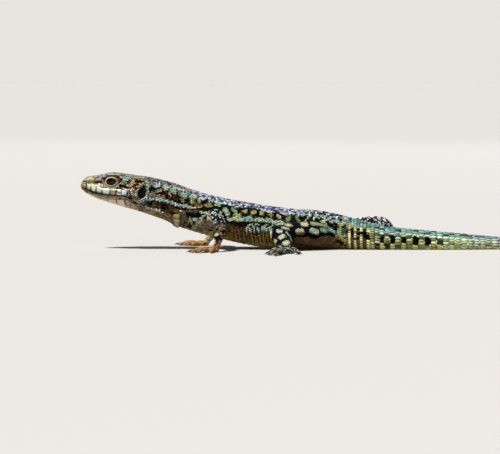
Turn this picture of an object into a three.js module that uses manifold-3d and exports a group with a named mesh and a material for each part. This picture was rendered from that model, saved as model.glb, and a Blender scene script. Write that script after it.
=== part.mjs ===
// A male wall lizard at life size, standing on its fore feet with its hind end and tail on the ground.
// It is a still model, divided by thin cuts into the parts that a person would name.
// Millimetres, +Z up, the head towards -X and the lizard's left side towards -Y. The floor is z = 0.
import * as THREE from "three";
import { mergeVertices } from "three/addons/utils/BufferGeometryUtils.js";
import Module from "manifold-3d";

const wasm = await Module();
wasm.setup();

// Driving dimensions.
const CUT = 0.3; // gap between two neighbouring parts
const FINE_CUT = 0.15; // gap round an eye, an eardrum and a claw
const SNOUT_TIP = 0.35; // distance along X of the snout's tip
const SNOUT_ROUND = 1.5; // length over which the snout rounds off
const TAIL_ROUND = 0.6; // length over which the tail tip rounds off
const TAIL_TIP = 172; // distance along X from the snout to the tail tip
const LEFT = -1;
const RIGHT = 1;

// Stations of the body, from the snout to the tail tip: distance from the snout, height of the back,
// height of the underside, half width, share of the height at which it is widest, and how square
// the section is above and below that level, where 2 is an ellipse.
const STATIONS = [
  [0, 15.1, 12.9, 1.4, 0.42, 2.2, 2.1],
  [2, 15.8, 11.95, 2.05, 0.42, 2.6, 2.2],
  [4.5, 16.2, 10.8, 2.85, 0.42, 2.9, 2.4],
  [7.4, 16.7, 9.9, 3.5, 0.42, 3.0, 2.4],
  [10, 16.4, 9.15, 3.95, 0.44, 2.9, 2.4],
  [13, 16.0, 8.3, 4.25, 0.46, 2.7, 2.3],
  [15.2, 15.65, 7.55, 4.05, 0.48, 2.4, 2.2],
  [18.5, 14.9, 6.35, 3.9, 0.48, 2.2, 2.1],
  [21.3, 14.05, 5.05, 4.15, 0.46, 2.1, 2.1],
  [24.5, 12.9, 3.95, 4.55, 0.45, 2.1, 2.2],
  [28.5, 11.7, 2.8, 4.85, 0.44, 2.1, 2.3],
  [33, 10.7, 1.7, 5.05, 0.42, 2.1, 2.5],
  [38, 9.85, 0.7, 5.4, 0.4, 2.1, 2.6],
  [43, 9.05, 0.15, 5.4, 0.39, 2.1, 2.6],
  [47.5, 8.6, -0.1, 4.95, 0.4, 2.1, 2.5],
  [52, 8.35, -0.1, 4.15, 0.42, 2.1, 2.4],
  [56, 7.6, -0.1, 3.7, 0.45, 2.1, 2.4],
  [60, 6.5, -0.1, 3.4, 0.47, 2.1, 2.4],
  [64, 5.45, -0.1, 2.95, 0.48, 2.1, 2.3],
  [69, 4.6, -0.1, 2.5, 0.5, 2.1, 2.2],
  [76, 3.95, -0.1, 2.1, 0.5, 2.0, 2.2],
  [85, 3.15, -0.1, 1.68, 0.5, 2.0, 2.2],
  [93, 2.5, -0.1, 1.36, 0.5, 2.0, 2.2],
  [108, 2.02, -0.1, 1.08, 0.5, 2.0, 2.2],
  [128, 1.55, -0.1, 0.82, 0.5, 2.0, 2.2],
  [150, 1.08, -0.1, 0.57, 0.5, 2.0, 2.2],
  [172, 0.58, -0.08, 0.3, 0.5, 2.0, 2.2],
];
const [TOP, BOTTOM, HALF, LEVEL, SQUARE_TOP, SQUARE_BELLY] = [1, 2, 3, 4, 5, 6];

// The sideways sweep of the spine, seen from above: distance from the snout, sideways place.
const SWEEP = [
  [0, -0.2],
  [12, 0],
  [22, 0.5],
  [34, 1.3],
  [46, 1.1],
  [56, 0.2],
  [68, -0.9],
  [82, -1.2],
  [98, 0.3],
  [116, 5],
  [136, 12],
  [155, 17],
  [172, 19],
];

// How far the sides of the head and the chest stand out or sink in, by distance and height.
const RELIEF = [
  { x: 3.6, z: 14.6, wide: 1.6, high: 0.7, out: -0.28 }, // hollow in front of the eye
  { x: 7.1, z: 16.05, wide: 2.2, high: 0.4, out: 0.3 }, // brow
  { x: 7.1, z: 14.7, wide: 1.5, high: 1.1, out: -0.3 }, // eye socket
  { x: 5.5, z: 12.9, wide: 4.2, high: 0.5, out: 0.14 }, // upper lip
  { x: 11.3, z: 13.0, wide: 1.7, high: 1.6, out: 0.3 }, // jaw muscle
  { x: 17.2, z: 10.4, wide: 2.2, high: 2.0, out: 0.28 }, // side of the throat
  { x: 23.0, z: 8.2, wide: 1.2, high: 1.3, out: -0.3 }, // hollow behind the collar
  { x: 26.2, z: 6.4, wide: 1.7, high: 1.3, out: 0.3 }, // shoulder
];
// The collar: the throat's skin ends in a free edge of large scales, proud of the chest behind it.
const COLLAR = { x: 20.9, wide: 0.8, out: 0.3 };

// The head: places on its left side as distance from the snout and height.
const HEAD_END = 15.3; // where the head ends and the neck begins
const EYE = { x: 7.1, z: 14.75, radius: 1.5, sunk: 1.0 };
const EAR = { x: 13.6, z: 12.4, long: 0.9, high: 1.38, deep: 1.0, lean: 0.25 };
const EARDRUM = { long: 0.66, high: 1.12, thick: 0.2, sunk: 0.6 };
const NOSTRIL = { x: 1.1, z: 14.7, radius: 0.26 };

// The edge of the lower jaw: points of the mouth's line, its corner and the jaw's back edge.
const MOUTH = {
  tip: [0.7, 13.45],
  rise: [3.2, 12.0],
  middle: [7.3, 11.8],
  fall: [9.6, 11.75],
  corner: [11.1, 11.1],
  hinge: [12.6, 6],
};

// Lengths of the body behind the head: where each ends, and how finely it is shaped.
const LENGTHS = [
  { name: "neck", to: 21.3, sides: 22, rings: 6 },
  { name: "chest", to: 33, sides: 22, rings: 8 },
  { name: "belly", to: 49, sides: 22, rings: 6 },
  { name: "pelvis", to: 60.5, sides: 20, rings: 5 },
  { name: "tail_base", to: 78, sides: 16, rings: 6 },
  { name: "tail_middle", to: 104, sides: 14, rings: 7 },
  { name: "tail_end", to: 136, sides: 12, rings: 8 },
  { name: "tail_tip", to: TAIL_TIP, sides: 10, rings: 9 },
];

// Thickness of an arm and a leg: share of the way from its root to the wrist or ankle, radius.
const ARM_THICKNESS = [
  [0, 1.6],
  [0.25, 1.35],
  [0.5, 1.15],
  [0.68, 1.08],
  [0.85, 0.85],
  [1, 0.72],
];
const LEG_THICKNESS = [
  [0, 2.6],
  [0.28, 2.45],
  [0.58, 1.95],
  [0.76, 1.8],
  [1, 0.95],
];

// Digits from the inner side of the foot outwards: length, spread from the foot's heading in
// degrees, and how far along the palm they start.
const FINGERS = [
  { length: 2.1, spread: -42, start: 0.75 },
  { length: 3.2, spread: -18, start: 0.95 },
  { length: 4.2, spread: 2, start: 1 },
  { length: 4.3, spread: 22, start: 0.95 },
  { length: 3.0, spread: 56, start: 0.7 },
];
const TOES = [
  { length: 2.3, spread: -30, start: 0.8 },
  { length: 3.7, spread: -13, start: 0.95 },
  { length: 5.3, spread: 0, start: 1 },
  { length: 7.2, spread: 14, start: 1 },
  { length: 4.2, spread: 58, start: 0.45 },
];

const HAND = {
  palm: 1.9, width: 1.15, depth: 0.62, wrist: 0.78, digit: 0.46, tip: 0.34, arch: 0.3,
  digits: FINGERS,
};
const FOOT = {
  palm: 3.4, width: 1.3, depth: 0.7, wrist: 0.98, digit: 0.5, tip: 0.35, arch: 0.45,
  digits: TOES,
};
const CLAW = { length: 1.05, root: 0.25, tip: 0.05 };

// Each limb runs from its root inside the body over its bent joint to the wrist or ankle.
// heading is the level direction of its foot, in degrees outwards from straight ahead, and joint
// is the share of its length at which the elbow or the knee is cut.
const LIMBS = [
  {
    name: "front_left", side: LEFT, heading: 28, thickness: ARM_THICKNESS, foot: HAND,
    parts: ["upper_arm", "forearm", "hand"], joint: 0.52,
    points: [[29.4, -2.4, 7.9], [31.1, -8.3, 5.2], [29.8, -11.0, 0.9]],
  },
  {
    name: "front_right", side: RIGHT, heading: 12, thickness: ARM_THICKNESS, foot: HAND,
    parts: ["upper_arm", "forearm", "hand"], joint: 0.52,
    points: [[28.6, 4.0, 7.9], [30.6, 9.6, 5.0], [27.3, 11.8, 0.9]],
  },
  {
    name: "hind_left", side: LEFT, heading: 62, thickness: LEG_THICKNESS, foot: FOOT,
    parts: ["thigh", "shank", "foot"], joint: 0.6,
    points: [[53.8, -1.4, 3.0], [42.6, -9.2, 4.6], [45.2, -14.6, 1.0]],
  },
  {
    name: "hind_right", side: RIGHT, heading: 75, thickness: LEG_THICKNESS, foot: FOOT,
    parts: ["thigh", "shank", "foot"], joint: 0.6,
    points: [[54.6, 2.0, 2.7], [66.0, 8.0, 5.3], [68.9, 13.2, 1.0]],
  },
];
const BEND = 0.3; // share of each bone over which the knee or elbow is rounded
const FRAMES = 60;

// A smooth curve through one column of a table whose first column is the distance from the snout.
function along(table, column, x) {
  const last = table.length - 1;
  const at = Math.min(Math.max(x, table[0][0]), table[last][0]);
  let i = 0;
  while (i < last - 1 && table[i + 1][0] < at) i++;
  const slope = (k) => {
    const a = table[Math.max(k - 1, 0)];
    const b = table[Math.min(k + 1, last)];
    return (b[column] - a[column]) / (b[0] - a[0]);
  };
  const [a, b] = [table[i], table[i + 1]];
  const step = b[0] - a[0];
  const t = (at - a[0]) / step;
  return (
    (2 * t ** 3 - 3 * t ** 2 + 1) * a[column] +
    (t ** 3 - 2 * t ** 2 + t) * step * slope(i) +
    (3 * t ** 2 - 2 * t ** 3) * b[column] +
    (t ** 3 - t ** 2) * step * slope(i + 1)
  );
}

const sideways = (x) => along(SWEEP, 1, x);

// The level direction across the body, towards its right side.
function across(x) {
  const slope = sideways(x + 0.5) - sideways(x - 0.5);
  return new THREE.Vector3(-slope, 1, 0).normalize();
}

const bell = (d, width) => Math.exp(-((d / width) ** 2));

const relief = (x, z) =>
  RELIEF.reduce((sum, r) => sum + r.out * bell(x - r.x, r.wide) * bell(z - r.z, r.high), 0);

const collarFlare = (x, below) =>
  x < COLLAR.x + 0.3 ? COLLAR.out * bell(x - COLLAR.x, COLLAR.wide) * below : 0;

// How much of its full size a section keeps near the two rounded ends.
function endRounding(x) {
  const nose = Math.min(1, (x - SNOUT_TIP) / SNOUT_ROUND);
  const tip = Math.min(1, (TAIL_TIP - x) / TAIL_ROUND);
  return Math.sqrt(1 - (1 - nose) ** 2) * Math.sqrt(1 - (1 - tip) ** 2);
}

const power = (value, exponent) => Math.sign(value) * Math.abs(value) ** exponent;

// A point of the body's surface at a distance from the snout and an angle round the section:
// 0 is the back, a quarter turn the right flank and half a turn the belly. share 0 is the centre.
function bodyPoint(x, angle, share = 1, grow = 0) {
  const column = (c) => along(STATIONS, c, x);
  const [top, bottom] = [column(TOP), column(BOTTOM)];
  const level = bottom + (top - bottom) * column(LEVEL);
  const upper = Math.cos(angle) >= 0;
  const exponent = 2 / column(upper ? SQUARE_TOP : SQUARE_BELLY);
  const reach = upper ? top - level : level - bottom;
  const below = upper ? 0 : Math.abs(Math.cos(angle)) ** 0.5;
  const extra = grow + collarFlare(x, Math.max(below, 0.2));
  const rounding = endRounding(x);
  const up = power(Math.cos(angle), exponent) * (reach + extra) * rounding;
  const side = power(Math.sin(angle), exponent);
  const swell = relief(x, level + up) * Math.min(1, Math.abs(side) * 1.4);
  const out = side * (column(HALF) + extra) * rounding + Math.sign(side) * swell;
  return new THREE.Vector3(x, sideways(x), level)
    .addScaledVector(across(x), out * share)
    .add(new THREE.Vector3(0, 0, up * share));
}

// A closed mesh as a manifold-3d solid, whichever way round its faces were listed.
function solid(geometry) {
  const bare = geometry.clone();
  bare.deleteAttribute("normal");
  bare.deleteAttribute("uv");
  const merged = mergeVertices(bare, 1e-5);
  const vertProperties = merged.attributes.position.array;
  const triVerts = new Uint32Array(merged.index.array);
  const made = new wasm.Manifold(new wasm.Mesh({ numProp: 3, vertProperties, triVerts }));
  if (made.volume() > 0) return made;
  for (let i = 0; i < triVerts.length; i += 3)
    [triVerts[i + 1], triVerts[i + 2]] = [triVerts[i + 2], triVerts[i + 1]];
  return new wasm.Manifold(new wasm.Mesh({ numProp: 3, vertProperties, triVerts }));
}

// A cylinder bent to a rule: place(t, angle, share) says where each of its points goes.
function tube(sides, rings, place) {
  const geometry = new THREE.CylinderGeometry(1, 1, 1, sides, rings);
  const at = geometry.attributes.position;
  for (let i = 0; i < at.count; i++) {
    const [x, y, z] = [at.getX(i), at.getY(i), at.getZ(i)];
    const p = place(0.5 - y, Math.atan2(x, z), Math.hypot(x, z));
    at.setXYZ(i, p.x, p.y, p.z);
  }
  return solid(geometry);
}

// A ball about a centre.
function ball(centre, radius, fineness = 12) {
  const geometry = new THREE.SphereGeometry(radius, fineness, Math.round(fineness * 0.6));
  geometry.translate(centre.x, centre.y, centre.z);
  return solid(geometry);
}

// A flattened ball that stands up against the side of the head and leans back like the ear.
function leaningDisc(centre, long, thick, high) {
  const geometry = new THREE.SphereGeometry(1, 12, 6);
  geometry.scale(long, thick, high);
  geometry.rotateY(EAR.lean);
  geometry.translate(centre.x, centre.y, centre.z);
  return solid(geometry);
}

// A ball drawn out to the three half sizes of a palm or a sole, turned level to its heading.
function palmSolid(centre, sizes, heading) {
  const geometry = new THREE.SphereGeometry(1, 10, 6);
  geometry.scale(...sizes);
  geometry.rotateZ(Math.atan2(heading.y, heading.x));
  geometry.translate(centre.x, centre.y, centre.z);
  return solid(geometry);
}

const aboveFloor = (made) => {
  const ground = new THREE.BoxGeometry(400, 400, 20).translate(80, 0, -10);
  return made.subtract(solid(ground));
};

// The largest piece of a solid, without slivers that a cut left behind.
const largest = (made) =>
  made.decompose().reduce((a, b) => (a.volume() > b.volume() ? a : b));

// A length of the body between two distances from the snout.
function bodyLength(from, to, sides, rings, grow = 0, ease = 1) {
  return tube(sides, rings, (t, angle, share) =>
    bodyPoint(from + (to - from) * t ** ease, angle, share, grow),
  );
}

const group = new THREE.Group();

const COLOURS = {
  skin: { color: 0x6f7a5c, roughness: 0.55, metalness: 0 },
  eye: { color: 0x120b06, roughness: 0.12, metalness: 0 },
  eardrum: { color: 0x2a1c14, roughness: 0.5, metalness: 0 },
  claw: { color: 0x2e2722, roughness: 0.35, metalness: 0 },
};

function addPart(name, made, finish = "skin") {
  const { vertProperties, triVerts, numProp } = largest(aboveFloor(made)).getMesh();
  const geometry = new THREE.BufferGeometry();
  const count = vertProperties.length / numProp;
  const position = new Float32Array(count * 3);
  for (let i = 0; i < count; i++)
    position.set(vertProperties.subarray(i * numProp, i * numProp + 3), i * 3);
  geometry.setAttribute("position", new THREE.BufferAttribute(position, 3));
  geometry.setIndex(new THREE.BufferAttribute(triVerts, 1));
  geometry.computeVertexNormals();
  const mesh = new THREE.Mesh(geometry, new THREE.MeshStandardMaterial(COLOURS[finish]));
  mesh.name = name;
  group.add(mesh);
}

const sideName = (side) => (side === LEFT ? "left" : "right");

// ---- Head: skull, lower jaw, eyes and eardrums ----
// A point on the side of the head, a depth inside the skin.
function onHeadSide(side, x, z, depth) {
  const column = (c) => along(STATIONS, c, x);
  const level = column(BOTTOM) + (column(TOP) - column(BOTTOM)) * column(LEVEL);
  const upper = z >= level;
  const reach = upper ? column(TOP) - level : level - column(BOTTOM);
  const squareness = column(upper ? SQUARE_TOP : SQUARE_BELLY);
  const height = Math.min(0.98, Math.abs(z - level) / (reach * endRounding(x)));
  const half = column(HALF) * endRounding(x) * (1 - height ** squareness) ** (1 / squareness);
  const out = half + relief(x, z) - depth;
  return new THREE.Vector3(x, sideways(x), z).addScaledVector(across(x), side * out);
}

// The mouth's line, seen from the side, from the snout to the corner of the mouth, and then the
// back edge of the lower jaw down to the throat. gap widens the jaw's region all round.
function jawRegion(gap) {
  const outline = new THREE.Shape();
  const raised = ([x, z]) => [x, z + gap];
  outline.moveTo(-2, MOUTH.tip[1] + 0.3 + gap);
  outline.lineTo(...raised(MOUTH.tip));
  outline.quadraticCurveTo(...raised(MOUTH.rise), ...raised(MOUTH.middle));
  outline.quadraticCurveTo(...raised(MOUTH.fall), MOUTH.corner[0] + gap, MOUTH.corner[1] + gap);
  outline.lineTo(MOUTH.hinge[0] + gap, MOUTH.hinge[1]);
  outline.lineTo(-2, MOUTH.hinge[1]);
  outline.closePath();
  const geometry = new THREE.ExtrudeGeometry(outline, {
    depth: 14,
    bevelEnabled: false,
    curveSegments: 5,
  });
  geometry.rotateX(Math.PI / 2); // the outline's height becomes z, and its depth runs across
  geometry.translate(0, 7, 0);
  return solid(geometry);
}

let skull = bodyLength(SNOUT_TIP + 0.03, HEAD_END, 22, 12, 0, 1.35);
const jaw = skull.intersect(jawRegion(0));
skull = skull.subtract(jawRegion(CUT * 0.8));
for (const side of [LEFT, RIGHT]) {
  const name = sideName(side);
  const eye = onHeadSide(side, EYE.x, EYE.z, EYE.sunk);
  const ear = onHeadSide(side, EAR.x, EAR.z, 0);
  const nostril = onHeadSide(side, NOSTRIL.x, NOSTRIL.z, 0);
  skull = skull
    .subtract(ball(eye, EYE.radius + FINE_CUT))
    .subtract(leaningDisc(ear, EAR.long, EAR.deep, EAR.high))
    .subtract(ball(nostril, NOSTRIL.radius, 6));
  const drum = onHeadSide(side, EAR.x, EAR.z, EARDRUM.sunk);
  addPart(`eye_${name}`, ball(eye, EYE.radius), "eye");
  addPart(
    `eardrum_${name}`,
    leaningDisc(drum, EARDRUM.long, EARDRUM.thick, EARDRUM.high),
    "eardrum",
  );
}
addPart("head", skull);
addPart("lower_jaw", jaw);

// ---- Neck, trunk and tail: lengths of the body, parted by thin cuts ----
let from = HEAD_END;
for (const { name, to, sides, rings } of LENGTHS) {
  const end = to === TAIL_TIP ? TAIL_TIP - 0.02 : to;
  addPart(name, bodyLength(from + CUT, end, sides, rings));
  from = to;
}

// ---- Legs ----
// The limb's centreline: two straight bones with a rounded joint.
function limbCurve([root, joint, end]) {
  const before = root.clone().lerp(joint, 1 - BEND);
  const after = joint.clone().lerp(end, BEND);
  const path = new THREE.CurvePath();
  path.add(new THREE.LineCurve3(root, before));
  path.add(new THREE.QuadraticBezierCurve3(before, joint, after));
  path.add(new THREE.LineCurve3(after, end));
  return path;
}

// A round length of a limb between two shares of its centreline.
function limbLength(path, thickness, from, to, rings, grow = 0) {
  const { normals, binormals } = path.computeFrenetFrames(FRAMES, false);
  return tube(11, rings, (t, angle, share) => {
    const u = from + (to - from) * t;
    const frame = Math.round(u * FRAMES);
    const radius = (along(thickness, 1, u) + grow) * share;
    return path
      .getPointAt(u)
      .addScaledVector(normals[frame], Math.cos(angle) * radius)
      .addScaledVector(binormals[frame], Math.sin(angle) * radius);
  });
}

// A level direction, in degrees outwards from straight ahead on one side of the body.
const level = (degrees, side) => {
  const a = THREE.MathUtils.degToRad(degrees);
  return new THREE.Vector3(-Math.cos(a), side * Math.sin(a), 0);
};

// The middle line of a digit: from inside the palm to its root, then in an arch to its tip.
function digitCurve(limb, wrist, digit) {
  const { foot, heading, side } = limb;
  const way = level(heading + digit.spread, side);
  const bone = level(heading + digit.spread * 0.6, side);
  const heel = wrist.clone().setZ(foot.digit);
  const inside = heel.clone().addScaledVector(bone, foot.palm * (digit.start - 0.3));
  const root = heel.clone().addScaledVector(bone, foot.palm * digit.start);
  const arch = root.clone().addScaledVector(way, digit.length * 0.45);
  arch.z += foot.arch;
  const tip = root.clone().addScaledVector(way, digit.length).setZ(foot.tip - 0.05);
  return { curve: new THREE.CatmullRomCurve3([inside, root, arch, tip]), way };
}

// A tube round a level or arching curve, with a radius at each share of its length.
function curveSolid(curve, sides, rings, radiusAt, flatness = 1) {
  return tube(sides, rings, (t, angle, share) => {
    const tangent = curve.getTangentAt(t);
    const flat = new THREE.Vector3(-tangent.y, tangent.x, 0).normalize();
    const upright = new THREE.Vector3().crossVectors(tangent, flat);
    const radius = radiusAt(t) * share;
    return curve
      .getPointAt(t)
      .addScaledVector(flat, Math.sin(angle) * radius * flatness)
      .addScaledVector(upright, Math.cos(angle) * radius);
  });
}

// A hand or a foot: the palm, the heel and five digits in one piece.
function footSolid(limb, wrist, grow) {
  const { foot, heading, side } = limb;
  const ahead = level(heading + 4, side);
  const middle = wrist.clone().setZ(foot.depth - 0.08).addScaledVector(ahead, foot.palm * 0.5);
  const sizes = [foot.palm * 0.62 + grow, foot.width + grow, foot.depth + grow];
  const heel = wrist.clone().setZ(foot.wrist - 0.08);
  let made = palmSolid(middle, sizes, ahead).add(ball(heel, foot.wrist + grow, 8));
  for (const digit of foot.digits) {
    const { curve } = digitCurve(limb, wrist, digit);
    const radiusAt = (t) => foot.digit + (foot.tip - foot.digit) * t ** 2 + grow;
    made = made.add(curveSolid(curve, 5, 5, radiusAt));
  }
  return made;
}

// A claw is a cone that curves down to the floor from just beyond the tip of its digit.
function clawSolid(tip, way) {
  const root = tip.clone().addScaledVector(way, FINE_CUT).setZ(tip.z + 0.08);
  const middle = root.clone().addScaledVector(way, CLAW.length * 0.6);
  middle.z += 0.16;
  const point = root.clone().addScaledVector(way, CLAW.length).setZ(CLAW.tip + 0.03);
  const curve = new THREE.QuadraticBezierCurve3(root, middle, point);
  const radiusAt = (t) => CLAW.root + (CLAW.tip - CLAW.root) * t;
  return curveSolid(curve, 5, 3, radiusAt, 0.8);
}

const trunkWithGap = bodyLength(HEAD_END, 92, 28, 44, CUT);
for (const limb of LIMBS) {
  const points = limb.points.map((p) => new THREE.Vector3(...p));
  const wrist = points[2];
  const path = limbCurve(points);
  const half = CUT / 2 / path.getLength();
  const [upperName, lowerName, footName] = limb.parts.map((part) => `${part}_${limb.name}`);
  const upper = limbLength(path, limb.thickness, 0, limb.joint - half, 7);
  const lower = limbLength(path, limb.thickness, limb.joint + half, 1, 6);
  addPart(upperName, upper.subtract(trunkWithGap));
  addPart(lowerName, lower.subtract(footSolid(limb, wrist, CUT * 0.8)));
  addPart(footName, footSolid(limb, wrist, 0));
  limb.foot.digits.forEach((digit, i) => {
    const { curve, way } = digitCurve(limb, wrist, digit);
    const claw = clawSolid(curve.getPointAt(1), way);
    addPart(`claw_${limb.name}_${i + 1}`, claw, "claw");
  });
}

// The origin is the middle of the lizard's outer box, on the floor.
const box = new THREE.Box3().setFromObject(group);
const centre = box.getCenter(new THREE.Vector3());
for (const mesh of group.children) mesh.geometry.translate(-centre.x, -centre.y, -box.min.z);

export default group;
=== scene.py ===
# %% [markdown]
# # A wall lizard, as a museum would show it
# This lesson dresses the plain solids of a small lizard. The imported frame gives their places.
# One skin is laid over them, and then thousands of small scales are set on the skin in the rows
# that a real wall lizard has. Lengths are worked out in millimetres from the tip of the snout,
# and only a finished mesh is turned into metres and moved to its place in the frame.

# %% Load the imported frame
import math

import bmesh
import bpy
import numpy as np
from mathutils import Matrix, Vector, noise
from mathutils.bvhtree import BVHTree
from mathutils.kdtree import KDTree


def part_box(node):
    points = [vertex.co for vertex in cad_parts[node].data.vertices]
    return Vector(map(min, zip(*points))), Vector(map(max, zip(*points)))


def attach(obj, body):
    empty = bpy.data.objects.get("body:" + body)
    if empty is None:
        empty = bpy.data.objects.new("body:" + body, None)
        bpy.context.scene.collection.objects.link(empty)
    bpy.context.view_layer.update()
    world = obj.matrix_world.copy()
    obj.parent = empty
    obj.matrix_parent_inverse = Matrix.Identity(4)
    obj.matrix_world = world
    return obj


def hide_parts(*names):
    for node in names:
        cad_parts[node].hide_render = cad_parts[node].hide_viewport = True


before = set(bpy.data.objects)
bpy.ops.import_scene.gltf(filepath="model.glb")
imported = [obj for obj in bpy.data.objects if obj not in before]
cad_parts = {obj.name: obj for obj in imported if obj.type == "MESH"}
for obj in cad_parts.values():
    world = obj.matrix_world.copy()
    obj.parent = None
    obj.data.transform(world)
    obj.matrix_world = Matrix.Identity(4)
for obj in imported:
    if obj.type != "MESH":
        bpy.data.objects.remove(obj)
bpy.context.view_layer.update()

# %% [markdown]
# ## The body's form
# The trunk is a loft: a table gives the height of the back and the belly, the half width and the
# squareness of the section at stations along the spine. The same table shaped the solids, so the
# skin that it makes fits them. A smooth curve through each column gives the values in between.

# %% Sizes of the body
MM = 0.001
SNOUT_TIP = 0.35
SNOUT_ROUND = 1.5
TAIL_TIP = 172.0
TAIL_ROUND = 0.6
LEFT, RIGHT = -1, 1
SIDES = {LEFT: "left", RIGHT: "right"}
STATIONS = np.array([
    # distance, back, underside, half width, widest share, squareness above, below
    [0, 15.1, 12.9, 1.4, 0.42, 2.2, 2.1],
    [2, 15.8, 11.95, 2.05, 0.42, 2.6, 2.2],
    [4.5, 16.2, 10.8, 2.85, 0.42, 2.9, 2.4],
    [7.4, 16.7, 9.9, 3.5, 0.42, 3.0, 2.4],
    [10, 16.4, 9.15, 3.95, 0.44, 2.9, 2.4],
    [13, 16.0, 8.3, 4.25, 0.46, 2.7, 2.3],
    [15.2, 15.65, 7.55, 4.05, 0.48, 2.4, 2.2],
    [18.5, 14.9, 6.35, 3.9, 0.48, 2.2, 2.1],
    [21.3, 14.05, 5.05, 4.15, 0.46, 2.1, 2.1],
    [24.5, 12.9, 3.95, 4.55, 0.45, 2.1, 2.2],
    [28.5, 11.7, 2.8, 4.85, 0.44, 2.1, 2.3],
    [33, 10.7, 1.7, 5.05, 0.42, 2.1, 2.5],
    [38, 9.85, 0.7, 5.4, 0.4, 2.1, 2.6],
    [43, 9.05, 0.15, 5.4, 0.39, 2.1, 2.6],
    [47.5, 8.6, -0.1, 4.95, 0.4, 2.1, 2.5],
    [52, 8.35, -0.1, 4.15, 0.42, 2.1, 2.4],
    [56, 7.6, -0.1, 3.7, 0.45, 2.1, 2.4],
    [60, 6.5, -0.1, 3.4, 0.47, 2.1, 2.4],
    [64, 5.45, -0.1, 2.95, 0.48, 2.1, 2.3],
    [69, 4.6, -0.1, 2.5, 0.5, 2.1, 2.2],
    [76, 3.95, -0.1, 2.1, 0.5, 2.0, 2.2],
    [85, 3.15, -0.1, 1.68, 0.5, 2.0, 2.2],
    [93, 2.5, -0.1, 1.36, 0.5, 2.0, 2.2],
    [108, 2.02, -0.1, 1.08, 0.5, 2.0, 2.2],
    [128, 1.55, -0.1, 0.82, 0.5, 2.0, 2.2],
    [150, 1.08, -0.1, 0.57, 0.5, 2.0, 2.2],
    [172, 0.58, -0.08, 0.3, 0.5, 2.0, 2.2],
])
SWEEP = np.array([
    # distance, sideways place of the spine
    [0, -0.2], [12, 0], [22, 0.5], [34, 1.3], [46, 1.1], [56, 0.2], [68, -0.9],
    [82, -1.2], [98, 0.3], [116, 5], [136, 12], [155, 17], [172, 19],
])
RELIEF = [
    # distance, height, reach along, reach up, how far out
    (3.6, 14.6, 1.6, 0.7, -0.28),  # hollow in front of the eye
    (7.1, 16.05, 2.2, 0.4, 0.3),  # brow
    (7.1, 14.7, 1.5, 1.1, -0.3),  # eye socket
    (5.5, 12.9, 4.2, 0.5, 0.14),  # upper lip
    (11.3, 13.0, 1.7, 1.6, 0.3),  # jaw muscle
    (17.2, 10.4, 2.2, 2.0, 0.28),  # side of the throat
    (23.0, 8.2, 1.2, 1.3, -0.3),  # hollow behind the collar
    (26.2, 6.4, 1.7, 1.3, 0.3),  # shoulder
]
COLLAR_AT, COLLAR_WIDE, COLLAR_OUT = 20.9, 0.8, 0.3
print("the body has", len(STATIONS), "stations and", len(RELIEF), "swellings and hollows")


# %% Curves through the stations
def along(table, column, x):
    """A smooth curve through one column of a table whose first column is the distance."""
    xs, ys = table[:, 0], table[:, column]
    x = np.clip(x, xs[0], xs[-1])
    slope = np.gradient(ys, xs)
    slope[1:-1] = (ys[2:] - ys[:-2]) / (xs[2:] - xs[:-2])
    i = np.clip(np.searchsorted(xs, x) - 1, 0, len(xs) - 2)
    step = xs[i + 1] - xs[i]
    t = (x - xs[i]) / step
    rise = (2 * t**3 - 3 * t**2 + 1) * ys[i] + (3 * t**2 - 2 * t**3) * ys[i + 1]
    lean = (t**3 - 2 * t**2 + t) * slope[i] + (t**3 - t**2) * slope[i + 1]
    return rise + step * lean


def sideways(x):
    return along(SWEEP, 1, x)


def across(x):
    """The level direction across the body, towards its right side."""
    slope = sideways(x + 0.5) - sideways(x - 0.5)
    length = np.sqrt(1 + slope**2)
    return np.stack([-slope / length, 1 / length, np.zeros_like(slope)], -1)


def bell(distance, width):
    return np.exp(-((distance / width) ** 2))


def end_rounding(x):
    nose = np.clip((x - SNOUT_TIP) / SNOUT_ROUND, 0, 1)
    tip = np.clip((TAIL_TIP - x) / TAIL_ROUND, 0, 1)
    return np.sqrt(1 - (1 - nose) ** 2) * np.sqrt(1 - (1 - tip) ** 2)


def power(value, exponent):
    return np.sign(value) * np.abs(value) ** exponent


def body_point(x, angle, grow=0.0):
    """Points of the body's surface. Angle 0 is the back and a quarter turn the right flank."""
    x, angle = np.broadcast_arrays(np.asarray(x, float), np.asarray(angle, float))
    top, bottom, half, widest, square_top, square_belly = (
        along(STATIONS, column, x) for column in range(1, 7)
    )
    level = bottom + (top - bottom) * widest
    upper = np.cos(angle) >= 0
    exponent = 2 / np.where(upper, square_top, square_belly)
    reach = np.where(upper, top - level, level - bottom)
    below = np.where(upper, 0, np.abs(np.cos(angle)) ** 0.5)
    flare = COLLAR_OUT * bell(x - COLLAR_AT, COLLAR_WIDE) * np.maximum(below, 0.2)
    extra = grow + np.where(x < COLLAR_AT + 0.3, flare, 0)
    rounding = end_rounding(x)
    up = power(np.cos(angle), exponent) * (reach + extra) * rounding
    side = power(np.sin(angle), exponent)
    swell = sum(
        out * bell(x - at, wide) * bell(level + up - height, high)
        for at, height, wide, high, out in RELIEF
    )
    out = side * (half + extra) * rounding + np.sign(side) * swell * np.minimum(
        1, np.abs(side) * 1.4
    )
    centre = np.stack([x, sideways(x), level], -1)
    rise = np.stack([np.zeros_like(x), np.zeros_like(x), up], -1)
    return centre + across(x) * out[..., None] + rise


eyes = [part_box(f"eye_{side}") for side in SIDES.values()]
EYE = {"x": 7.1, "z": 14.75, "radius": 1.5}
middle = sum((low + high for low, high in eyes), Vector()) / 4
snout = Vector((middle.x - EYE["x"] * MM, middle.y - float(sideways(EYE["x"])) * MM, 0.0))
print("the snout starts at", [round(v, 5) for v in snout], "m")


def placed(points):
    """Millimetres from the snout, turned into metres in the frame."""
    return np.asarray(points) * MM + np.array(snout)


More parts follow.
